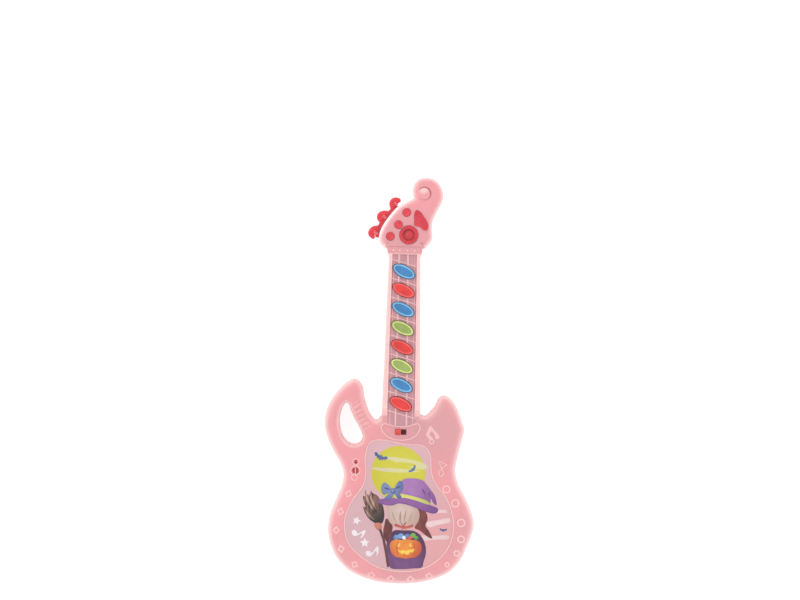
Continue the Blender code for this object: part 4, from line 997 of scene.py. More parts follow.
def cut_openings(shell):
    """Cuts the key holes, the switch window, the sound holes and the headstock's seats."""
    low = CEILING_Z - 2
    top_x, top_y, _, top_hole = CLEF_TOP
    x, y, _, hole = CLEF_MIDDLE
    rosette_x, rosette_y, radius = ROSETTE
    cut(shell,
        *[(prism, ellipse(key_centre(k), KEY_HOLE, 44, KEY_TILT), NECK_CEILING_Z - 2, ABOVE_FACE)
          for k in range(KEY_COUNT)],
        (prism, rectangle(SWITCH_CENTRE, SWITCH_WINDOW), low, ABOVE_FACE),
        (prism, ellipse((top_x, top_y), (2 * top_hole, 2.5 * top_hole), 28), low, ABOVE_FACE),
        (prism, circle((x, y), hole, 36), low, ABOVE_FACE),
        *[(prism, circle(stud, STUD_RADIUS + GAP, 40), HEAD_CEILING_Z - 2, ABOVE_HEAD)
          for stud in STUDS],
        (turned, (rosette_x, rosette_y), [
            (2.6, HEAD_CEILING_Z - 2), (2.6, TRIM_FLOOR_Z), (radius + GAP, TRIM_FLOOR_Z + 0.001),
            (radius + GAP, ABOVE_HEAD)], 56),
        (prism, offset_loop(smooth_path(FIN_ANCHORS), -GAP), TRIM_FLOOR_Z, ABOVE_HEAD),
        (scroll_groove,),
        (prism, offset_loop(plate_loop(), -GAP), PARTING_Z - 1, PLATE_Z[1] + GAP))
    cut(shell, post(FIN_STEM, 1.9, HEAD_CEILING_Z - 2, TRIM_FLOOR_Z + 1, 16))


def post(centre, radius, low, high, segments):
    """A plain round post as a part for add() or cut()."""
    return turned, centre, [(radius, low), (radius, high)], segments


def speaker_ring(bm):
    """The raised ring that holds the speaker under the front wall."""
    outer, inner = SPEAKER_RING
    top = CEILING_Z + 0.6
    loft(bm, [[(p.x, p.y, z) for p in circle(SPEAKER_CENTRE, r, 40)]
              for r, z in ((outer, 19.5), (outer, top), (inner, top), (inner, 19.5))],
         closed=True)


def add_inside(shell):
    """The bar across the clef's middle hole, the screw bosses and the speaker ring."""
    x, y, _, hole = CLEF_MIDDLE
    foot = PARTING_Z + GAP / 2
    add(shell,
        (prism, rectangle((x, y), (0.9, 2 * hole + 0.8)), CEILING_Z + 0.4, FRONT_Z + 0.3),
        *[post((x, y), BOSS, foot, (HEAD_CEILING_Z if on_head else CEILING_Z) + 0.6, 20)
          for x, y, seat, on_head in SHELL_SCREWS],
        *[post((x, y), BOARD_BOSS, board_z + 1.9, top + 0.6, 16)
          for x, y, board_z, top in BOARD_SCREWS],
        (speaker_ring,))
    cut(shell, *[post((x, y), PILOT, foot - 1, 20.5, 12) for x, y, *_ in SHELL_SCREWS],
        *[post((x, y), BOARD_PILOT, board_z + 0.9, top - 0.6, 12)
          for x, y, board_z, top in BOARD_SCREWS])


def on_stud(x, y, z, body):
    """Whether a point stands proud of the body's face at one of the border's studs."""
    studs = [(*ring[:2], ring[2] + 0.1) for ring in BORDER_RINGS]
    studs += [(*centre, DIAMOND_HALF[1] + 0.1) for centre in BORDER_DIAMONDS]
    if z < STUD_FOOT - 2.0 or all(math.hypot(x - i, y - j) > reach for i, j, reach in studs):
        return False
    return z > FRONT_Z - edge_drop(Vector((x, y)), body) + 0.1


def on_fret_floor(x, y, z, up):
    """Whether a face belongs to the floor between the rails."""
    return (abs(x) < FRET_FLOOR_REACH and FRET_FLOOR_START_Y < y < NECK_END_Y and up > 0.9
            and CEILING_Z + 1 < z < FRET_FLOOR_Z + 0.05)


def on_nut(x, y, z, up):
    """Whether a face belongs to the nut's top, without its raised dots."""
    on_dot = y < NUT_DOTS[0][1] + 1.2 and z > NUT_TOP_Z + 0.02
    return (abs(x) < NUT_HALF_END + 0.8 and NECK_END_Y + 0.1 < y < NUT_END_Y + 2.0
            and z > NUT_TOP_Z - 1.0 and up > 0.2 and not on_dot)


def on_scroll(x, y, z, up):
    """Whether a face belongs to the scroll's raised disc or its groove."""
    return (math.hypot(x - SCROLL_CENTRE[0], y - SCROLL_CENTRE[1]) < SCROLL_DISC + 1.2
            and (z > HEAD_FRONT_Z + 0.02 or SCROLL_GROOVE_Z - 0.1 < z < HEAD_FRONT_Z - 0.02))


def front_shell(outer, inner, pinks):
    """The front moulding with all its relief."""
    shell = half_shell("front_shell_detail", duplicate(outer), duplicate(inner),
                       PARTING_Z + GAP / 2, 60)
    cut_face(shell)
    add_relief(shell)
    cut_openings(shell)
    add_inside(shell)
    place(shell, pinks, "guitar", "pink_plastic", "front_shell")
    body = smooth_path(BODY_ANCHORS)
    # Painted light by face: painted shade on the fret floor, a faint painted edge highlight on the
    # nut, a painted highlight on the scroll's disc with painted shade in its groove, and a pale
    # painted highlight on the studs' tops.
    for index, chosen in enumerate((on_fret_floor, on_nut, on_scroll,
                                    lambda x, y, z, up: on_stud(x, y, z, body)), 1):
        paint(shell, index, chosen)


def rear_shell(outer, inner, pink):
    """The rear moulding with its battery bay, screw posts and wells."""
    shell = half_shell("rear_shell_detail", outer, inner, -10, PARTING_Z - GAP / 2)
    y0, y1 = BAY_Y
    lug_x, lug_y, lug_z = DOOR_LUG
    backs = [((x, y), seat, HEAD_BACK_Z if on_head else 0.0)
             for x, y, seat, on_head in SHELL_SCREWS]
    bay = box_loop(-BAY_X - BAY_WALL, BAY_X + BAY_WALL, y0 - BAY_WALL, y1 + BAY_WALL)
    add(shell, (prism, bay, 1.0, BAY_TOP_Z + BAY_WALL),
        *[post(spot, REAR_POST, back + 1, PARTING_Z - GAP / 2, 24) for spot, _, back in backs])
    add(shell, (prism, box_loop(-8, 8, y1 + 0.4, lug_y + 3), 1.0, 9.0))
    cut(shell, (prism, box_loop(-BAY_X, BAY_X, y0, y1), WALL, BAY_TOP_Z))
    door_seat = box_loop(-BAY_X, BAY_X, DOOR_Y[0] - GAP, DOOR_Y[1] + GAP)
    cut(shell, (prism, door_seat, -1, WALL + 0.5),
        *[post(spot, HEAD_WELL, back - 2, seat, 24) for spot, seat, back in backs])
    lug_seat = box_loop(-lug_x - GAP, lug_x + GAP, DOOR_Y[1] - 1, lug_y + GAP)
    cut(shell, (prism, lug_seat, -1, lug_z + GAP),
        *[post(spot, SHANK_HOLE, seat - 1, 15, 12) for spot, seat, _ in backs])
    cut(shell, post((0, DOOR_SCREW_Y), 1.9, 1, 12, 16))
    place(shell, [pink], "guitar", "pink_plastic", "rear_shell")


def battery_door(pink):
    """The battery door with its tabs, finger grooves and lug."""
    y0, y1 = DOOR_Y
    lug_x, lug_y, lug_z = DOOR_LUG
    screw = (0, DOOR_SCREW_Y)
    door = solid("battery_door_detail", (pillow, box_loop(-DOOR_X, DOOR_X, y0, y1), 0.0,
                                         DOOR_THICKNESS, (0.4, 0.4), (0.2, 0.2), 3))
    add(door, (prism, box_loop(-lug_x, lug_x, y1 - 3, lug_y), 0.01, DOOR_THICKNESS - 0.01),
        *[(prism, box_loop(x0, x1, y0 + 0.2, y0 + 2.6), 1.0, 3.3) for x0, x1 in DOOR_TABS])
    add(door, (prism, box_loop(-lug_x + 0.2, lug_x - 0.2, y1 + 1.6, lug_y - 0.2), 0.8, lug_z),
        *[(prism, box_loop(x0 + 0.1, x1 - 0.1, y0 - 2.2, y0 + 1.0), 2.4, 3.2)
          for x0, x1 in DOOR_TABS])
    cut(door, *[(prism, box_loop(-6.0, 6.0, 8.0 + 1.8 * k, 8.8 + 1.8 * k), -1.0, 0.4)
                for k in range(5)], post(screw, 3.0, -1.0, 1.7, 32))
    cut(door, post(screw, 1.4, -1.0, 5.0, 20))
    place(door, [pink], "battery_door", "pink_plastic", "battery_door")


# ================================================================ keys and switch
def key(index, mats):
    """One note key: a flanged oval cap with a pale lip, a painted highlight, round a shallow dish
    whose walls carry painted shade.
    """
    centre = key_centre(index)
    low, high = KEY_FLANGE_Z
    rows = [(0.0, low, KEY_FLANGE), (0.0, high, KEY_FLANGE), (0.0, high + 0.001, KEY_TOP),
            (0.0, KEY_TOP_Z - 0.9, KEY_TOP)]
    for k in range(1, 6):
        angle = 0.5 * math.pi * k / 5
        rows.append((0.85 * (1 - math.cos(angle)), KEY_TOP_Z - 0.9 + 0.9 * math.sin(angle),
                     KEY_TOP))
    rows += [(inward, KEY_TOP_Z - depth, KEY_TOP) for inward, depth in KEY_DISH]
    name = f"key_{index + 1}"
    cap = solid(name + "_cap", (loft, [
        [(p.x, p.y, z) for p in
         ellipse(centre, (size[0] - 2 * inward, size[1] - 2 * inward), 48, KEY_TILT)]
        for inward, z, size in rows]))
    cut(cap, (turned, centre, KEY_HOLLOW, 32))
    place(cap, mats, name, "key_" + KEY_COLOURS[index], name)
    # Painted highlight: the lip's faces take the pale lip material.
    paint(cap, 1, lambda x, y, z, up: KEY_TOP_Z - 0.7 < z and (up < 0.97 or z > KEY_TOP_Z - 0.1))


def switch_knob(mat):
    """The red slide knob with three finger grooves."""
    x, y = SWITCH_CENTRE[0] - SWITCH_TRAVEL / 2, SWITCH_CENTRE[1]
    knob = solid("switch_knob_detail", (pillow, rectangle((x, y), KNOB_SIZE), *KNOB_Z,
                                        (0.1, 0.1), (0.35, 0.35), 3))
    add(knob, (prism, rectangle((x, y), KNOB_STEM), 20.8, 25.0))
    cut(knob, *[(prism, rectangle((x + dx, y), (0.5, 6.0)), KNOB_Z[1] - 0.5, 30.0)
                for dx in (-1.3, 0.0, 1.3)])
    place(knob, [mat], "power_switch", "knob_red", "switch_knob")


# ================================================================ red trim on the headstock
def tuner_trim(mat, shade_mat):
    """Carrier plate, edge strip, three bean-shaped pegs and three studs."""
    plate_low, plate_top = PLATE_Z
    low, high = PEG_Z
    trim = solid("tuner_trim_detail", (pillow, plate_loop(), plate_low, plate_top,
                                       (0.15, 0.15), (0.25, 0.25), 2))
    pegs = solid("pegs", *[(pillow, smooth_loop(outline, 6), low, high, (1.1, 1.1), (1.5, 1.3), 5)
                           for outline in PEG_OUTLINES])
    cut(pegs, (prism, offset_loop(head_loop(), -GAP - 0.1), low - 1, high + 1))
    combine(trim, pegs, "UNION")
    top = HEAD_FRONT_Z + 0.5
    add(trim, *[(turned, stud, [
        (STUD_RADIUS, plate_low + 0.5), (STUD_RADIUS, top), (STUD_RADIUS - 0.12, top + 0.3),
        (STUD_RADIUS - 0.45, top + 0.48), (STUD_RADIUS - 0.9, top + 0.46), (1.9, top + 0.1),
        (1.5, top + 0.05), (1.1, top + 0.3), (0.6, top + 0.44)], 40) for stud in STUDS])
    place(trim, [mat, shade_mat], "guitar", "red_plastic", "tuner_trim")
    # Painted shade: the plate's top strip, lower than the pegs, and the groove round each stud
    # take the darker red.
    paint(trim, 1, lambda x, y, z, up: plate_top - 0.3 < z < plate_top + 0.02 or (
        z > HEAD_FRONT_Z and any(1.2 < math.hypot(x - i, y - j) < 2.5 for i, j in STUDS)))


def peg_shafts(mat):
    """The short rods that join the pegs' wings to the strip."""
    along = Vector((0.75, -0.65)).normalized()
    shafts = solid("peg_shafts", *[
        (rib, Vector(nub) - along * 1.5, Vector(nub) + along * 2.3, 2.3, PLATE_Z[0] + 1.0,
         PEG_Z[1] + 0.9) for nub in PEG_NUBS])
    place(shafts, [mat], "guitar", "red_plastic")


def glow_sheet(mat):
    """A red sheet under the front wall behind the sound holes; its colour is a painted glow,
    standing in for light through the pink walls seen in the holes.
    """
    cloth = solid("glow_sheet", (pillow, ellipse(*GLOW_SHEET_OVAL, 40), CEILING_Z - 0.45,
                                  CEILING_Z - 0.1, (0.1, 0.1), (0.15, 0.1), 2))
    place(cloth, [mat], "guitar", "red_plastic")


def rosette(mat, shade_mat):
    """The round red ornament: a beaded rim around a stepped cup, on a push-in stem."""
    x, y, radius = ROSETTE
    top = HEAD_FRONT_Z + 0.9
    floor = TRIM_FLOOR_Z + GAP
    flower = solid("rosette_detail", (turned, (x, y), [
        (2.2, HEAD_CEILING_Z - 1.0), (2.2, floor), (radius, floor + 0.001),
        *[(radius - inward, top - depth) for inward, depth in ROSETTE_RIM],
        *[(r, top - depth) for r, depth in ROSETTE_CUP]], 64))
    add(flower, *[(turned, spot, [(0.66, top - 1.1), (0.66, top - 0.5), (0.58, top - 0.28),
                                  (0.4, top - 0.14), (0.15, top - 0.1)], 12)
                  for spot in circle((x, y), radius - 1.8, ROSETTE_BEADS)])
    place(flower, [mat, shade_mat], "guitar", "red_plastic", "rosette")
    # Painted shade: the sunk cup inside the beaded rim takes the darker red.
    paint(flower, 1, lambda px, py, pz, up: (
        2.3 < math.hypot(px - x, py - y) < radius - 2.9 and pz > TRIM_FLOOR_Z + 0.8))


def fin(mat, shaded_face_mat):
    """The red fin-shaped ornament, with a raised border, a sunk face and a push-in stem."""
    loop = smooth_path(FIN_ANCHORS, 7)
    floor, top = TRIM_FLOOR_Z + GAP, HEAD_FRONT_Z + 0.8
    piece = solid("fin_detail", (pillow, loop, floor, top, (0.1, 0.1), (0.5, 0.45), 3))
    cut(piece, (prism, inset(loop, 1.25), top - 0.7, top + 2))
    add(piece, post(FIN_STEM, 1.5, HEAD_CEILING_Z - 1.0, floor + 0.3, 16))
    place(piece, [mat, shaded_face_mat], "guitar", "red_plastic", "fin")
    # Painted shade: the sunk face inside the raised border takes the darker red.
    paint(piece, 1, lambda x, y, z, up: up > 0.9 and z < top - 0.6)


# ================================================================ the label and its picture
BAT_HALF = [
    (0, 0.1), (0.05, 0.22), (0.1, 0.1), (0.22, 0.14), (0.36, 0.23), (0.52, 0.16), (0.43, 0.04),
    (0.35, -0.07), (0.27, -0.02), (0.18, -0.16), (0.1, -0.1), (0, -0.24),
]
QUAVER = [
    (-0.42, -0.5), (-0.16, -0.62), (0.1, -0.5), (0.2, -0.28), (0.2, 0.28), (0.42, 0.14),
    (0.5, -0.08), (0.58, 0.14), (0.42, 0.42), (0.2, 0.7), (0.04, 0.7), (0.04, -0.12), (-0.2, -0.1),
    (-0.44, -0.24),
]
CANDIES = [
    ("candy_blue", -1.6, -8.6, 4.6), ("candy_blue", 2.2, -7.6, 5.2),
    ("candy_white", 5.2, -8.8, 3.6), ("candy_blue", 8, -7.4, 4.4),
    ("candy_green", 12.6, -6.8, 4.8), ("candy_red", 10.2, -9, 3.4),
    ("candy_green", 15.6, -8.8, 3.6),
]
INKS = {                         # name: centre, radius, inner and outer colour, streaks
    "moon": ((4, 52), 44, (211, 204, 68), (198, 189, 42)),
    "cloud": ((6, 52), 26, (219, 216, 146), (214, 200, 172)),
    "bat": ((0, 50), 30, (88, 116, 168), (74, 92, 140)),
    "stripe": ((30, 4), 26, (236, 208, 210), (226, 188, 190)),
    "cloth": ((4, -30), 30, (120, 75, 130), (74, 44, 82)),
    "fold": ((6, -30), 30, (112, 70, 118), (92, 56, 96)),
    "ribbon": ((6, 8), 34, (134, 62, 58), (104, 50, 50), 0.6),
    "sack": ((2, 13), 19, (213, 189, 180), (190, 154, 144)),
    "seam": ((2, 10), 14, (172, 134, 126), (164, 126, 118)),
    "bow": ((-8, 34), 15, (134, 146, 190), (84, 92, 142)),
    "bow_fold": ((-6, 30), 12, (78, 84, 134), (70, 76, 124)),
    "tie": ((5, 1), 14, (196, 92, 84), (168, 72, 66)),
    "bristle": ((-28, 22), 21, (144, 104, 92), (46, 40, 44), 0.8),
    "tuft": ((-28, 22), 20, (206, 164, 142), (112, 86, 80), 0.5),
    "collar": ((-18, 2), 8, (208, 128, 108), (160, 88, 76)),
    "handle": ((-12, -18), 24, (104, 62, 62), (82, 48, 50)),
    "crown": ((8, 36), 30, (172, 122, 182), (124, 78, 140)),
    "crease": ((25, 29), 12, (116, 72, 132), (106, 66, 120)),
    "brim": ((4, 24), 38, (148, 96, 162), (112, 66, 132)),
    "brim_edge": ((0, 18), 36, (128, 80, 142), (112, 68, 126)),
    "band": ((8, 27), 24, (214, 214, 110), (176, 182, 88)),
    "pumpkin": ((4, -15), 19, (238, 150, 60), (196, 70, 44)),
    "groove": ((6, -18), 18, (206, 96, 44), (190, 80, 44)),
    "glow": ((6, -18), 14, (250, 208, 84), (240, 178, 60)),
    "candy_blue": ((2, -6), 9, (128, 168, 214), (72, 112, 176)),
    "candy_white": ((5, -8), 6, (240, 236, 240), (206, 206, 220)),
    "candy_green": ((13, -6), 7, (128, 178, 84), (72, 128, 62)),
    "candy_red": ((10, -8), 6, (226, 96, 84), (190, 62, 58)),
    "white": ((-30, -8), 30, (242, 232, 236), (232, 216, 222)),
}


def turn_points(points, centre, size, degrees):
    """Points scaled by size, turned, and moved to centre, in counter-clockwise order."""
    spin = Matrix.Rotation(math.radians(degrees), 2)
    return counter_clockwise([Vector(centre) + spin @ (Vector(p) * size) for p in points])


def star(centre, radius, degrees):
    """A five-pointed star with blunt points."""
    reach = [1.0, 0.52] * 5
    points = [(r * math.cos(math.pi * k / 5), r * math.sin(math.pi * k / 5))
              for k, r in enumerate(reach)]
    return smooth_path(turn_points(points, centre, radius, degrees), 3)


def quaver(centre, size, degrees):
    """A single note: an oval head, a stem and a flag."""
    return smooth_path(turn_points(QUAVER, centre, size, degrees), 3)


def bat(centre, span, degrees):
    """A bat with spread wings."""
    mirrored = [(-x, y) for x, y in reversed(BAT_HALF[1:-1])]
    return turn_points(BAT_HALF + mirrored, centre, span, degrees)


def picture(inks):
    """The printed picture as (index of its ink, outline), lowest first.

    It shows the moon with clouds and bats, a sack in a hat with a bow, a broom, and a pumpkin
    full of sweets on a cloth.
    """
    def curve(*points):
        return smooth_loop(points, 5)

    def polygon(*points):
        return counter_clockwise(points)

    groups = [
        ("moon", circle((-1.1, 45.9), 23, 72)),
        ("cloud", curve((-14.5, 59.3), (0.7, 58.9), (14.4, 56.5), (22.4, 53.5), (24, 51.4),
          (21.4, 49.6), (12.3, 50), (5.4, 51.6), (0.8, 53.6), (-6.1, 56)),
         curve((-25, 49.8), (-12.8, 49.9), (0.9, 49.6), (12.3, 48.6), (17.4, 47.7), (8, 46.7),
          (-4, 46.4), (-14.7, 47.2))),
        ("moon", curve((-3, 54.6), (6.5, 54.9), (14, 53.2), (8, 51.4), (2, 52.2))),
        ("bat", bat((-16.6, 58.9), 12.4, -22),
         bat((11.3, 49.2), 8, 46),
         bat((38.3, -1.8), 6.6, -2)),
        ("stripe", curve((23.6, 3.4), (26, 5.2), (34, 6.8), (43.6, 8.4), (44, 5.4), (34, 2.8),
          (26, 0.6)),
         curve((31, 15.3), (36, 15.5), (40.6, 15.2), (41.4, 13.4), (36, 12.9), (31, 12.9)),
         curve((19, -7.4), (30, -6.8), (43.2, -6.5), (42.8, -9.1), (32, -9.9), (20, -10.7))),
        ("cloth", curve((-6.9, -6.4), (-3.1, -2.9), (4.1, -2.8), (13.5, -3.1), (19.3, -6.9),
          (23, -13.6), (24, -21.6), (22, -29.6), (21, -33.6), (14, -34.8), (2.4, -35.7),
          (-6.2, -34.6), (-8.6, -22.4), (-9.6, -14.4))),
        ("fold", curve((-4.4, -26.5), (-3.4, -27.5), (-2.4, -34.4), (-4.4, -34.2)),
         curve((9.6, -28.4), (10.8, -28.2), (12.4, -34), (10.4, -34.4)),
         curve((18.6, -25.6), (20.4, -23.8), (20.2, -31.6), (18.2, -32.6))),
        ("ribbon", curve((-10.4, 7), (-11.8, 2), (-12.7, -3), (-12.2, -8), (-9, -13.3),
          (-6.8, -9.4), (-5.4, -4.4), (-4.9, 1), (-7.1, 5)),
         curve((15.6, 18.4), (20.4, 16.4), (23.4, 12.7), (24.7, 6.9), (23, 2), (26.4, -3.3),
          (29, -9), (26.3, -8.4), (21.5, -5), (18, -2.4), (14, -0.4), (16.9, 5.4), (17.6, 11.2))),
        ("sack", curve((-10, 13), (-9.6, 18.2), (-3, 20.6), (6.6, 20.4), (14.3, 18), (17.7, 12.3),
          (17, 5.6), (13.4, 0.9), (6.6, -1.3), (-1.4, -0.2), (-7.7, 4.4))),
        ("seam", curve((1.6, 3.2), (0.6, 8), (1.6, 13.6), (2.2, 8.2)),
         curve((4.8, 4.6), (5, 10), (6.6, 15), (6, 9.4)),
         curve((8.2, 3.4), (10.4, 8), (11.8, 12.8), (10, 8.8)),
         curve((-1.6, 3.4), (-4.4, 8), (-5.6, 13), (-3.6, 8.2))),
        ("tie", curve((-3.4, 1.2), (2, -0.6), (7.6, -0.8), (12.6, 0.8), (12, 2.4), (7.4, 1),
          (2.4, 1.2), (-2.6, 2.8)),
         curve((2.2, 4.4), (3.6, 0.8), (5, 3.6), (7.2, 4.6), (5.2, 0.6), (7.4, -3), (4.9, -1.2),
          (2.8, -3.2), (3.8, 0.2))),
        ("bristle", curve((-29, 31), (-27.4, 27.4), (-26, 26.4), (-24.6, 28), (-24, 30.2),
          (-22.4, 28.2), (-19.1, 26.9), (-16.7, 24.1), (-13.4, 17.4), (-12.1, 9.4), (-13.4, 3.7),
          (-16.2, 1.6), (-20.8, 3.5), (-25.4, 6.8), (-28.4, 11.3), (-30.2, 16.6), (-28.2, 16.4),
          (-29.7, 20.4), (-30.4, 25.8), (-28.9, 25.2))),
        ("tuft", curve((-28.2, 29), (-26.6, 24.6), (-24.4, 20), (-21.4, 14.2), (-24.6, 17.2),
          (-27.4, 21.6)),
         curve((-23.6, 28.4), (-22.8, 24), (-20.8, 19.4), (-18.6, 14), (-21.8, 17.8), (-24.2, 23)),
         curve((-28.8, 15), (-26.6, 12.6), (-23, 9), (-20, 5.4), (-24.6, 7.6), (-27.6, 11.4))),
        ("collar", curve((-20.6, 2.4), (-15.1, 3), (-14.2, -1.6), (-16.1, -3.2), (-19.2, -1.3))),
        ("handle", polygon((-16.6, -2.4), (-14.4, -2.2), (-11, -11.3), (-8.6, -22), (-7.1, -34),
          (-8.7, -34.4), (-10.9, -22.4), (-13.4, -10.6))),
        ("crown", curve((-4.6, 23), (-2.4, 31.6), (0.8, 37.6), (3.4, 40.7), (8.9, 41.8),
          (14.7, 41.5), (19.9, 40.2), (22.8, 37.2), (26.3, 32.9), (29.6, 28.4), (31.3, 24.7),
          (32, 19.4), (29, 21.4), (27.2, 25), (26.8, 21.4), (26, 18.6), (12.9, 20.6),
          (1.5, 23.1))),
        ("crease", curve((25.6, 30.8), (26.6, 27.6), (27, 24.4), (25.9, 26.6), (24.6, 29)),
         curve((19.4, 33.4), (21.6, 31), (23, 27), (21.6, 28.6), (20, 30.8))),
        ("brim", curve((-18.2, 21.9), (-15.6, 23.4), (-9.9, 24), (1.5, 25.1), (12.9, 23.1),
          (24.3, 20), (33.4, 16.2), (33, 13.5), (30.2, 12.2), (24.5, 13.1), (13, 17.2),
          (6.1, 19.3), (-0.7, 20), (-5.2, 18.3), (-12.1, 18.6), (-16.6, 20))),
        ("brim_edge", curve((-15.6, 20.2), (-9, 18.9), (-4.6, 19.3), (0.4, 20.9), (7.6, 19.9),
          (15, 17.3), (24.6, 14.1), (31.4, 13.4), (30, 12.4), (24.5, 13.3), (13, 17.3),
          (6.1, 19.4), (-0.7, 20.1), (-5.2, 18.4), (-12.1, 18.8))),
        ("band", curve((-4.4, 27), (1.4, 28.2), (5.9, 27.7), (15.1, 25.6), (24.3, 22.6),
          (26.9, 20), (25.6, 19.6), (15.2, 22.7), (5, 25), (-3.6, 24.6))),
        ("bow", curve((-6.2, 31), (-9, 35.4), (-13, 37.6), (-15, 34.6), (-15, 30.4), (-13.4, 27.4),
          (-9.6, 28.4)),
         curve((-4.4, 31.4), (-2.6, 36), (0.2, 39.4), (2.8, 38), (3.4, 33.6), (2, 29.6),
          (-1.4, 28.8)),
         curve((-6.4, 30.6), (-9.6, 27.2), (-12.6, 23.4), (-9.4, 22.8), (-6.6, 24.2),
          (-4.6, 28.6)),
         curve((-4.4, 30), (-3, 26.6), (-0.6, 24.2), (2.2, 25), (0.4, 28.4), (-2.6, 31))),
        ("bow_fold", curve((-7.6, 31.4), (-10.6, 33.4), (-13, 33), (-10.8, 31.8)),
         curve((-3.4, 32.4), (-1.2, 34.6), (1.4, 35.2), (-0.6, 33)),
         ellipse((-5.2, 30.6), (4.2, 4.8), 24, 0.3)),
        ("bow", ellipse((-5.4, 31), (2.8, 3.2), 20, 0.3)),
        ("pumpkin", curve((-6.9, -15.4), (-5.4, -12.2), (-1.4, -10.4), (2.6, -10.9), (6.8, -9.9),
          (11.2, -10.7), (15.6, -10.8), (19.2, -13.2), (20.4, -17.4), (19, -22.2), (15, -25.4),
          (10.6, -26), (6.8, -26.8), (2.6, -26), (-1.9, -25.2), (-5.6, -21.4))),
        ("groove", curve((0.6, -11.4), (-1.6, -18.2), (0.8, -25.2), (-0.2, -18.2)),
         curve((12.9, -11.2), (15, -18.2), (12.6, -25.2), (13.8, -18.2))),
        ("glow", polygon((-0.9, -16.3), (1.9, -16.5), (1.2, -13.2)),
         polygon((9.4, -16.1), (12.2, -16.3), (10.4, -13)),
         polygon((-0.9, -19), (2.5, -20), (4.2, -19.2), (7.1, -20), (9.8, -19), (14.8, -18.2),
          (12.8, -21.3), (10.6, -21), (9.4, -23), (7.2, -23.4), (6, -22), (3.7, -23),
          (1.4, -21.2))),
        *[(name, ellipse((x, y), (size, size * 0.86), 24, 0.4)) for name, x, y, size in CANDIES],
        ("white", quaver((-21.6, -21.4), 9, -38), star((-28.2, -14), 4.1, 20),
         quaver((-33.8, -5.6), 8.6, -62), star((-35.6, 4.6), 3.8, 0)),
    ]
    return [(inks.index(name), loop) for name, *loops in groups for loop in loops]


def printed(bm, outline, top, index):
    """One printed layer in the ink with this material index."""
    for face in prism(bm, outline, LABEL_Z[1] - 0.15, top):
        face.material_index = index


def panel_label():
    """The label in its recess, with its picture as hair-thin printed layers."""
    mats = {"ground": label_base()}
    mats.update((name, ink(name, *row)) for name, row in INKS.items())
    low, high = LABEL_Z
    loop = offset_loop(smooth_path(PANEL_ANCHORS), BEAD_WIDTH - GAP / 2)
    layers = picture(list(mats))
    label = solid("panel_label_print", (pillow, loop, low, high, (0.05, 0.05), (0.12, 0.12), 2),
                  *[(printed, outline, high + 0.02 + LAYER_STEP * order, index)
                    for order, (index, outline) in enumerate(layers)])
    place(label, list(mats.values()), "guitar", "label_print", "panel_label")


# ================================================================ CAD nodes that stay
def dress_cad_nodes():
    """Gives every CAD node that still shows its own procedural material."""
    metal = steel()
    board = circuit_board()
    knob_frame = mottled("black_moulding", (138, 66, 72), (120, 54, 60), 240.0, 0.42, 0.00002)
    epoxy = mottled("cured_epoxy", (30, 30, 32), (20, 20, 22), 180.0, 0.3, 0.00004)
    rubber = mottled("dome_silicone", (196, 197, 196), (182, 184, 184), 200.0, 0.62, 0.00003)
    paper = mottled("pressed_paper", (58, 58, 62), (44, 44, 47), 500.0, 0.85, 0.00006)
    ferrite = mottled("ferrite", (74, 74, 78), (60, 60, 62), 320.0, 0.6, 0.00004)
    jacket = mottled("cell_lacquer", (46, 110, 74), (38, 96, 64), 90.0, 0.3, 0.00001, 0.4)
    looks = {
        "key_dome": rubber, "key_board": board, "main_board": board, "sound_chip": epoxy,
        "speaker_frame": metal, "speaker_cone": paper, "speaker_magnet": ferrite,
        "battery_1": jacket, "battery_2": jacket, "contact": metal, "shell_screw": metal,
        "board_screw": metal, "door_screw": metal, "switch_body": knob_frame,
    }
    for name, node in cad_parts.items():
        for prefix, mat in looks.items():
            if name.startswith(prefix):
                node.data.materials.clear()
                node.data.materials.append(mat)


# ================================================================ studio
CAMERA_CENTRE = (-0.0031, 0.155)
FIELD_WIDTH = 0.680
LENS = 100.0
SENSOR = 36.0
CAMERA_ROLL = math.radians(1.35)
WHITE = (1.0, 1.0, 1.0)
SOFTBOX_SIZE = 1.3
SOFTBOX_AIM = (0.0, 0.08, 0.0)
SOFTBOXES = [("key_softbox", (-0.9, 0.9, 1.5), 6.0), ("fill_softbox", (1.1, -0.5, 1.3), 2.0)]


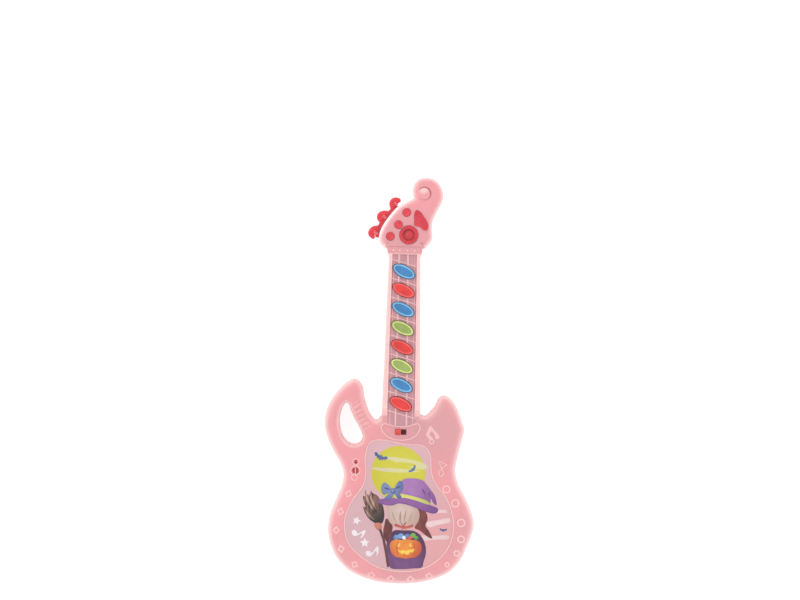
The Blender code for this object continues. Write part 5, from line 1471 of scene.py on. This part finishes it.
def studio():
    """The pale floor, the soft lights, the white surroundings and the camera."""
    bm = bmesh.new()
    bmesh.ops.create_grid(bm, x_segments=8, y_segments=8, size=4.0)
    mesh = bpy.data.meshes.new("studio_floor")
    bm.to_mesh(mesh)
    bm.free()
    floor = new_object("studio_floor", mesh)
    look = Look("floor_white", roughness=0.8)
    shade = look.mix(look.noise(3.0), srgb(196, 196, 196), srgb(200, 200, 200))
    look.fill(look.shader, {"Base Color": shade, "Emission Color": WHITE,
                            "Emission Strength": 0.72})
    mesh.materials.append(look.mat)

    scene = bpy.context.scene
    scene.world = bpy.data.worlds.new("studio")
    scene.world.use_nodes = True
    look.fill(scene.world.node_tree.nodes["Background"], {"Color": WHITE, "Strength": 0.9})
    for name, where, power in SOFTBOXES:
        light = bpy.data.lights.new(name, "AREA")
        light.size = SOFTBOX_SIZE
        light.energy = power
        lamp = new_object(name, light)
        lamp.location = where
        aim = Vector(SOFTBOX_AIM) - lamp.location
        lamp.rotation_euler = aim.to_track_quat("-Z", "Y").to_euler()

    camera = bpy.data.cameras.new("camera")
    camera.lens = LENS
    camera.sensor_width = SENSOR
    camera.clip_end = 20.0
    scene.camera = new_object("camera", camera)
    scene.camera.location = (*CAMERA_CENTRE, FRONT_Z * MM + FIELD_WIDTH * LENS / SENSOR)
    scene.camera.rotation_euler = (0.0, 0.0, CAMERA_ROLL)
    scene.view_settings.view_transform = "Standard"


def build():
    """Builds every detailed piece and dresses the CAD nodes that stay."""
    pink = pink_plastic("milky_pink")
    red = plastic("glossy_red", (234, 64, 76), (248, 112, 116), (222, 52, 66))
    # Darker reds for painted shade in sunk parts, and a pale red for the painted highlight on the
    # peg shafts.
    shaded_red = plastic("shaded_red", (178, 28, 44), (206, 54, 66), (160, 22, 38))
    fin_red = plastic("fin_red", (224, 68, 82), (236, 92, 98), (212, 56, 72))
    pale_red = plastic("shaft_red", (244, 112, 118), (250, 150, 150))
    rosette_red = plastic("rosette_red", (221, 60, 76), (238, 102, 110), (208, 50, 66))
    key_mats = {colour: [plastic("key_" + colour, *dish), plastic(f"key_{colour}_lip", *lip)]
                for colour, dish, lip in KEY_SHADES}
    knob_red = plastic("knob_red", (250, 88, 80), (252, 134, 124))
    outer, inner = outer_solid(), inner_solid()
    # The nut's top takes a pink with only a faint painted edge highlight.
    front_shell(outer, inner, [pink, fretboard_pink(),
                               pink_plastic("milky_pink_low", False, 0.15), scroll_pink(),
                               raised_pink()])
    rear_shell(outer, inner, pink)
    battery_door(pink_plastic("door_pink", relief=False))
    panel_label()
    for index, colour in enumerate(KEY_COLOURS):
        key(index, key_mats[colour])
    switch_knob(knob_red)
    tuner_trim(red, fin_red)
    peg_shafts(pale_red)
    rosette(rosette_red, shaded_red)
    fin(red, fin_red)
    # Painted glow behind the sound holes.
    glow_sheet(mottled("glow_sheet_red", (240, 134, 138), (222, 110, 116), 900.0, 0.85, 0.00005))
    dress_cad_nodes()
    studio()


build()
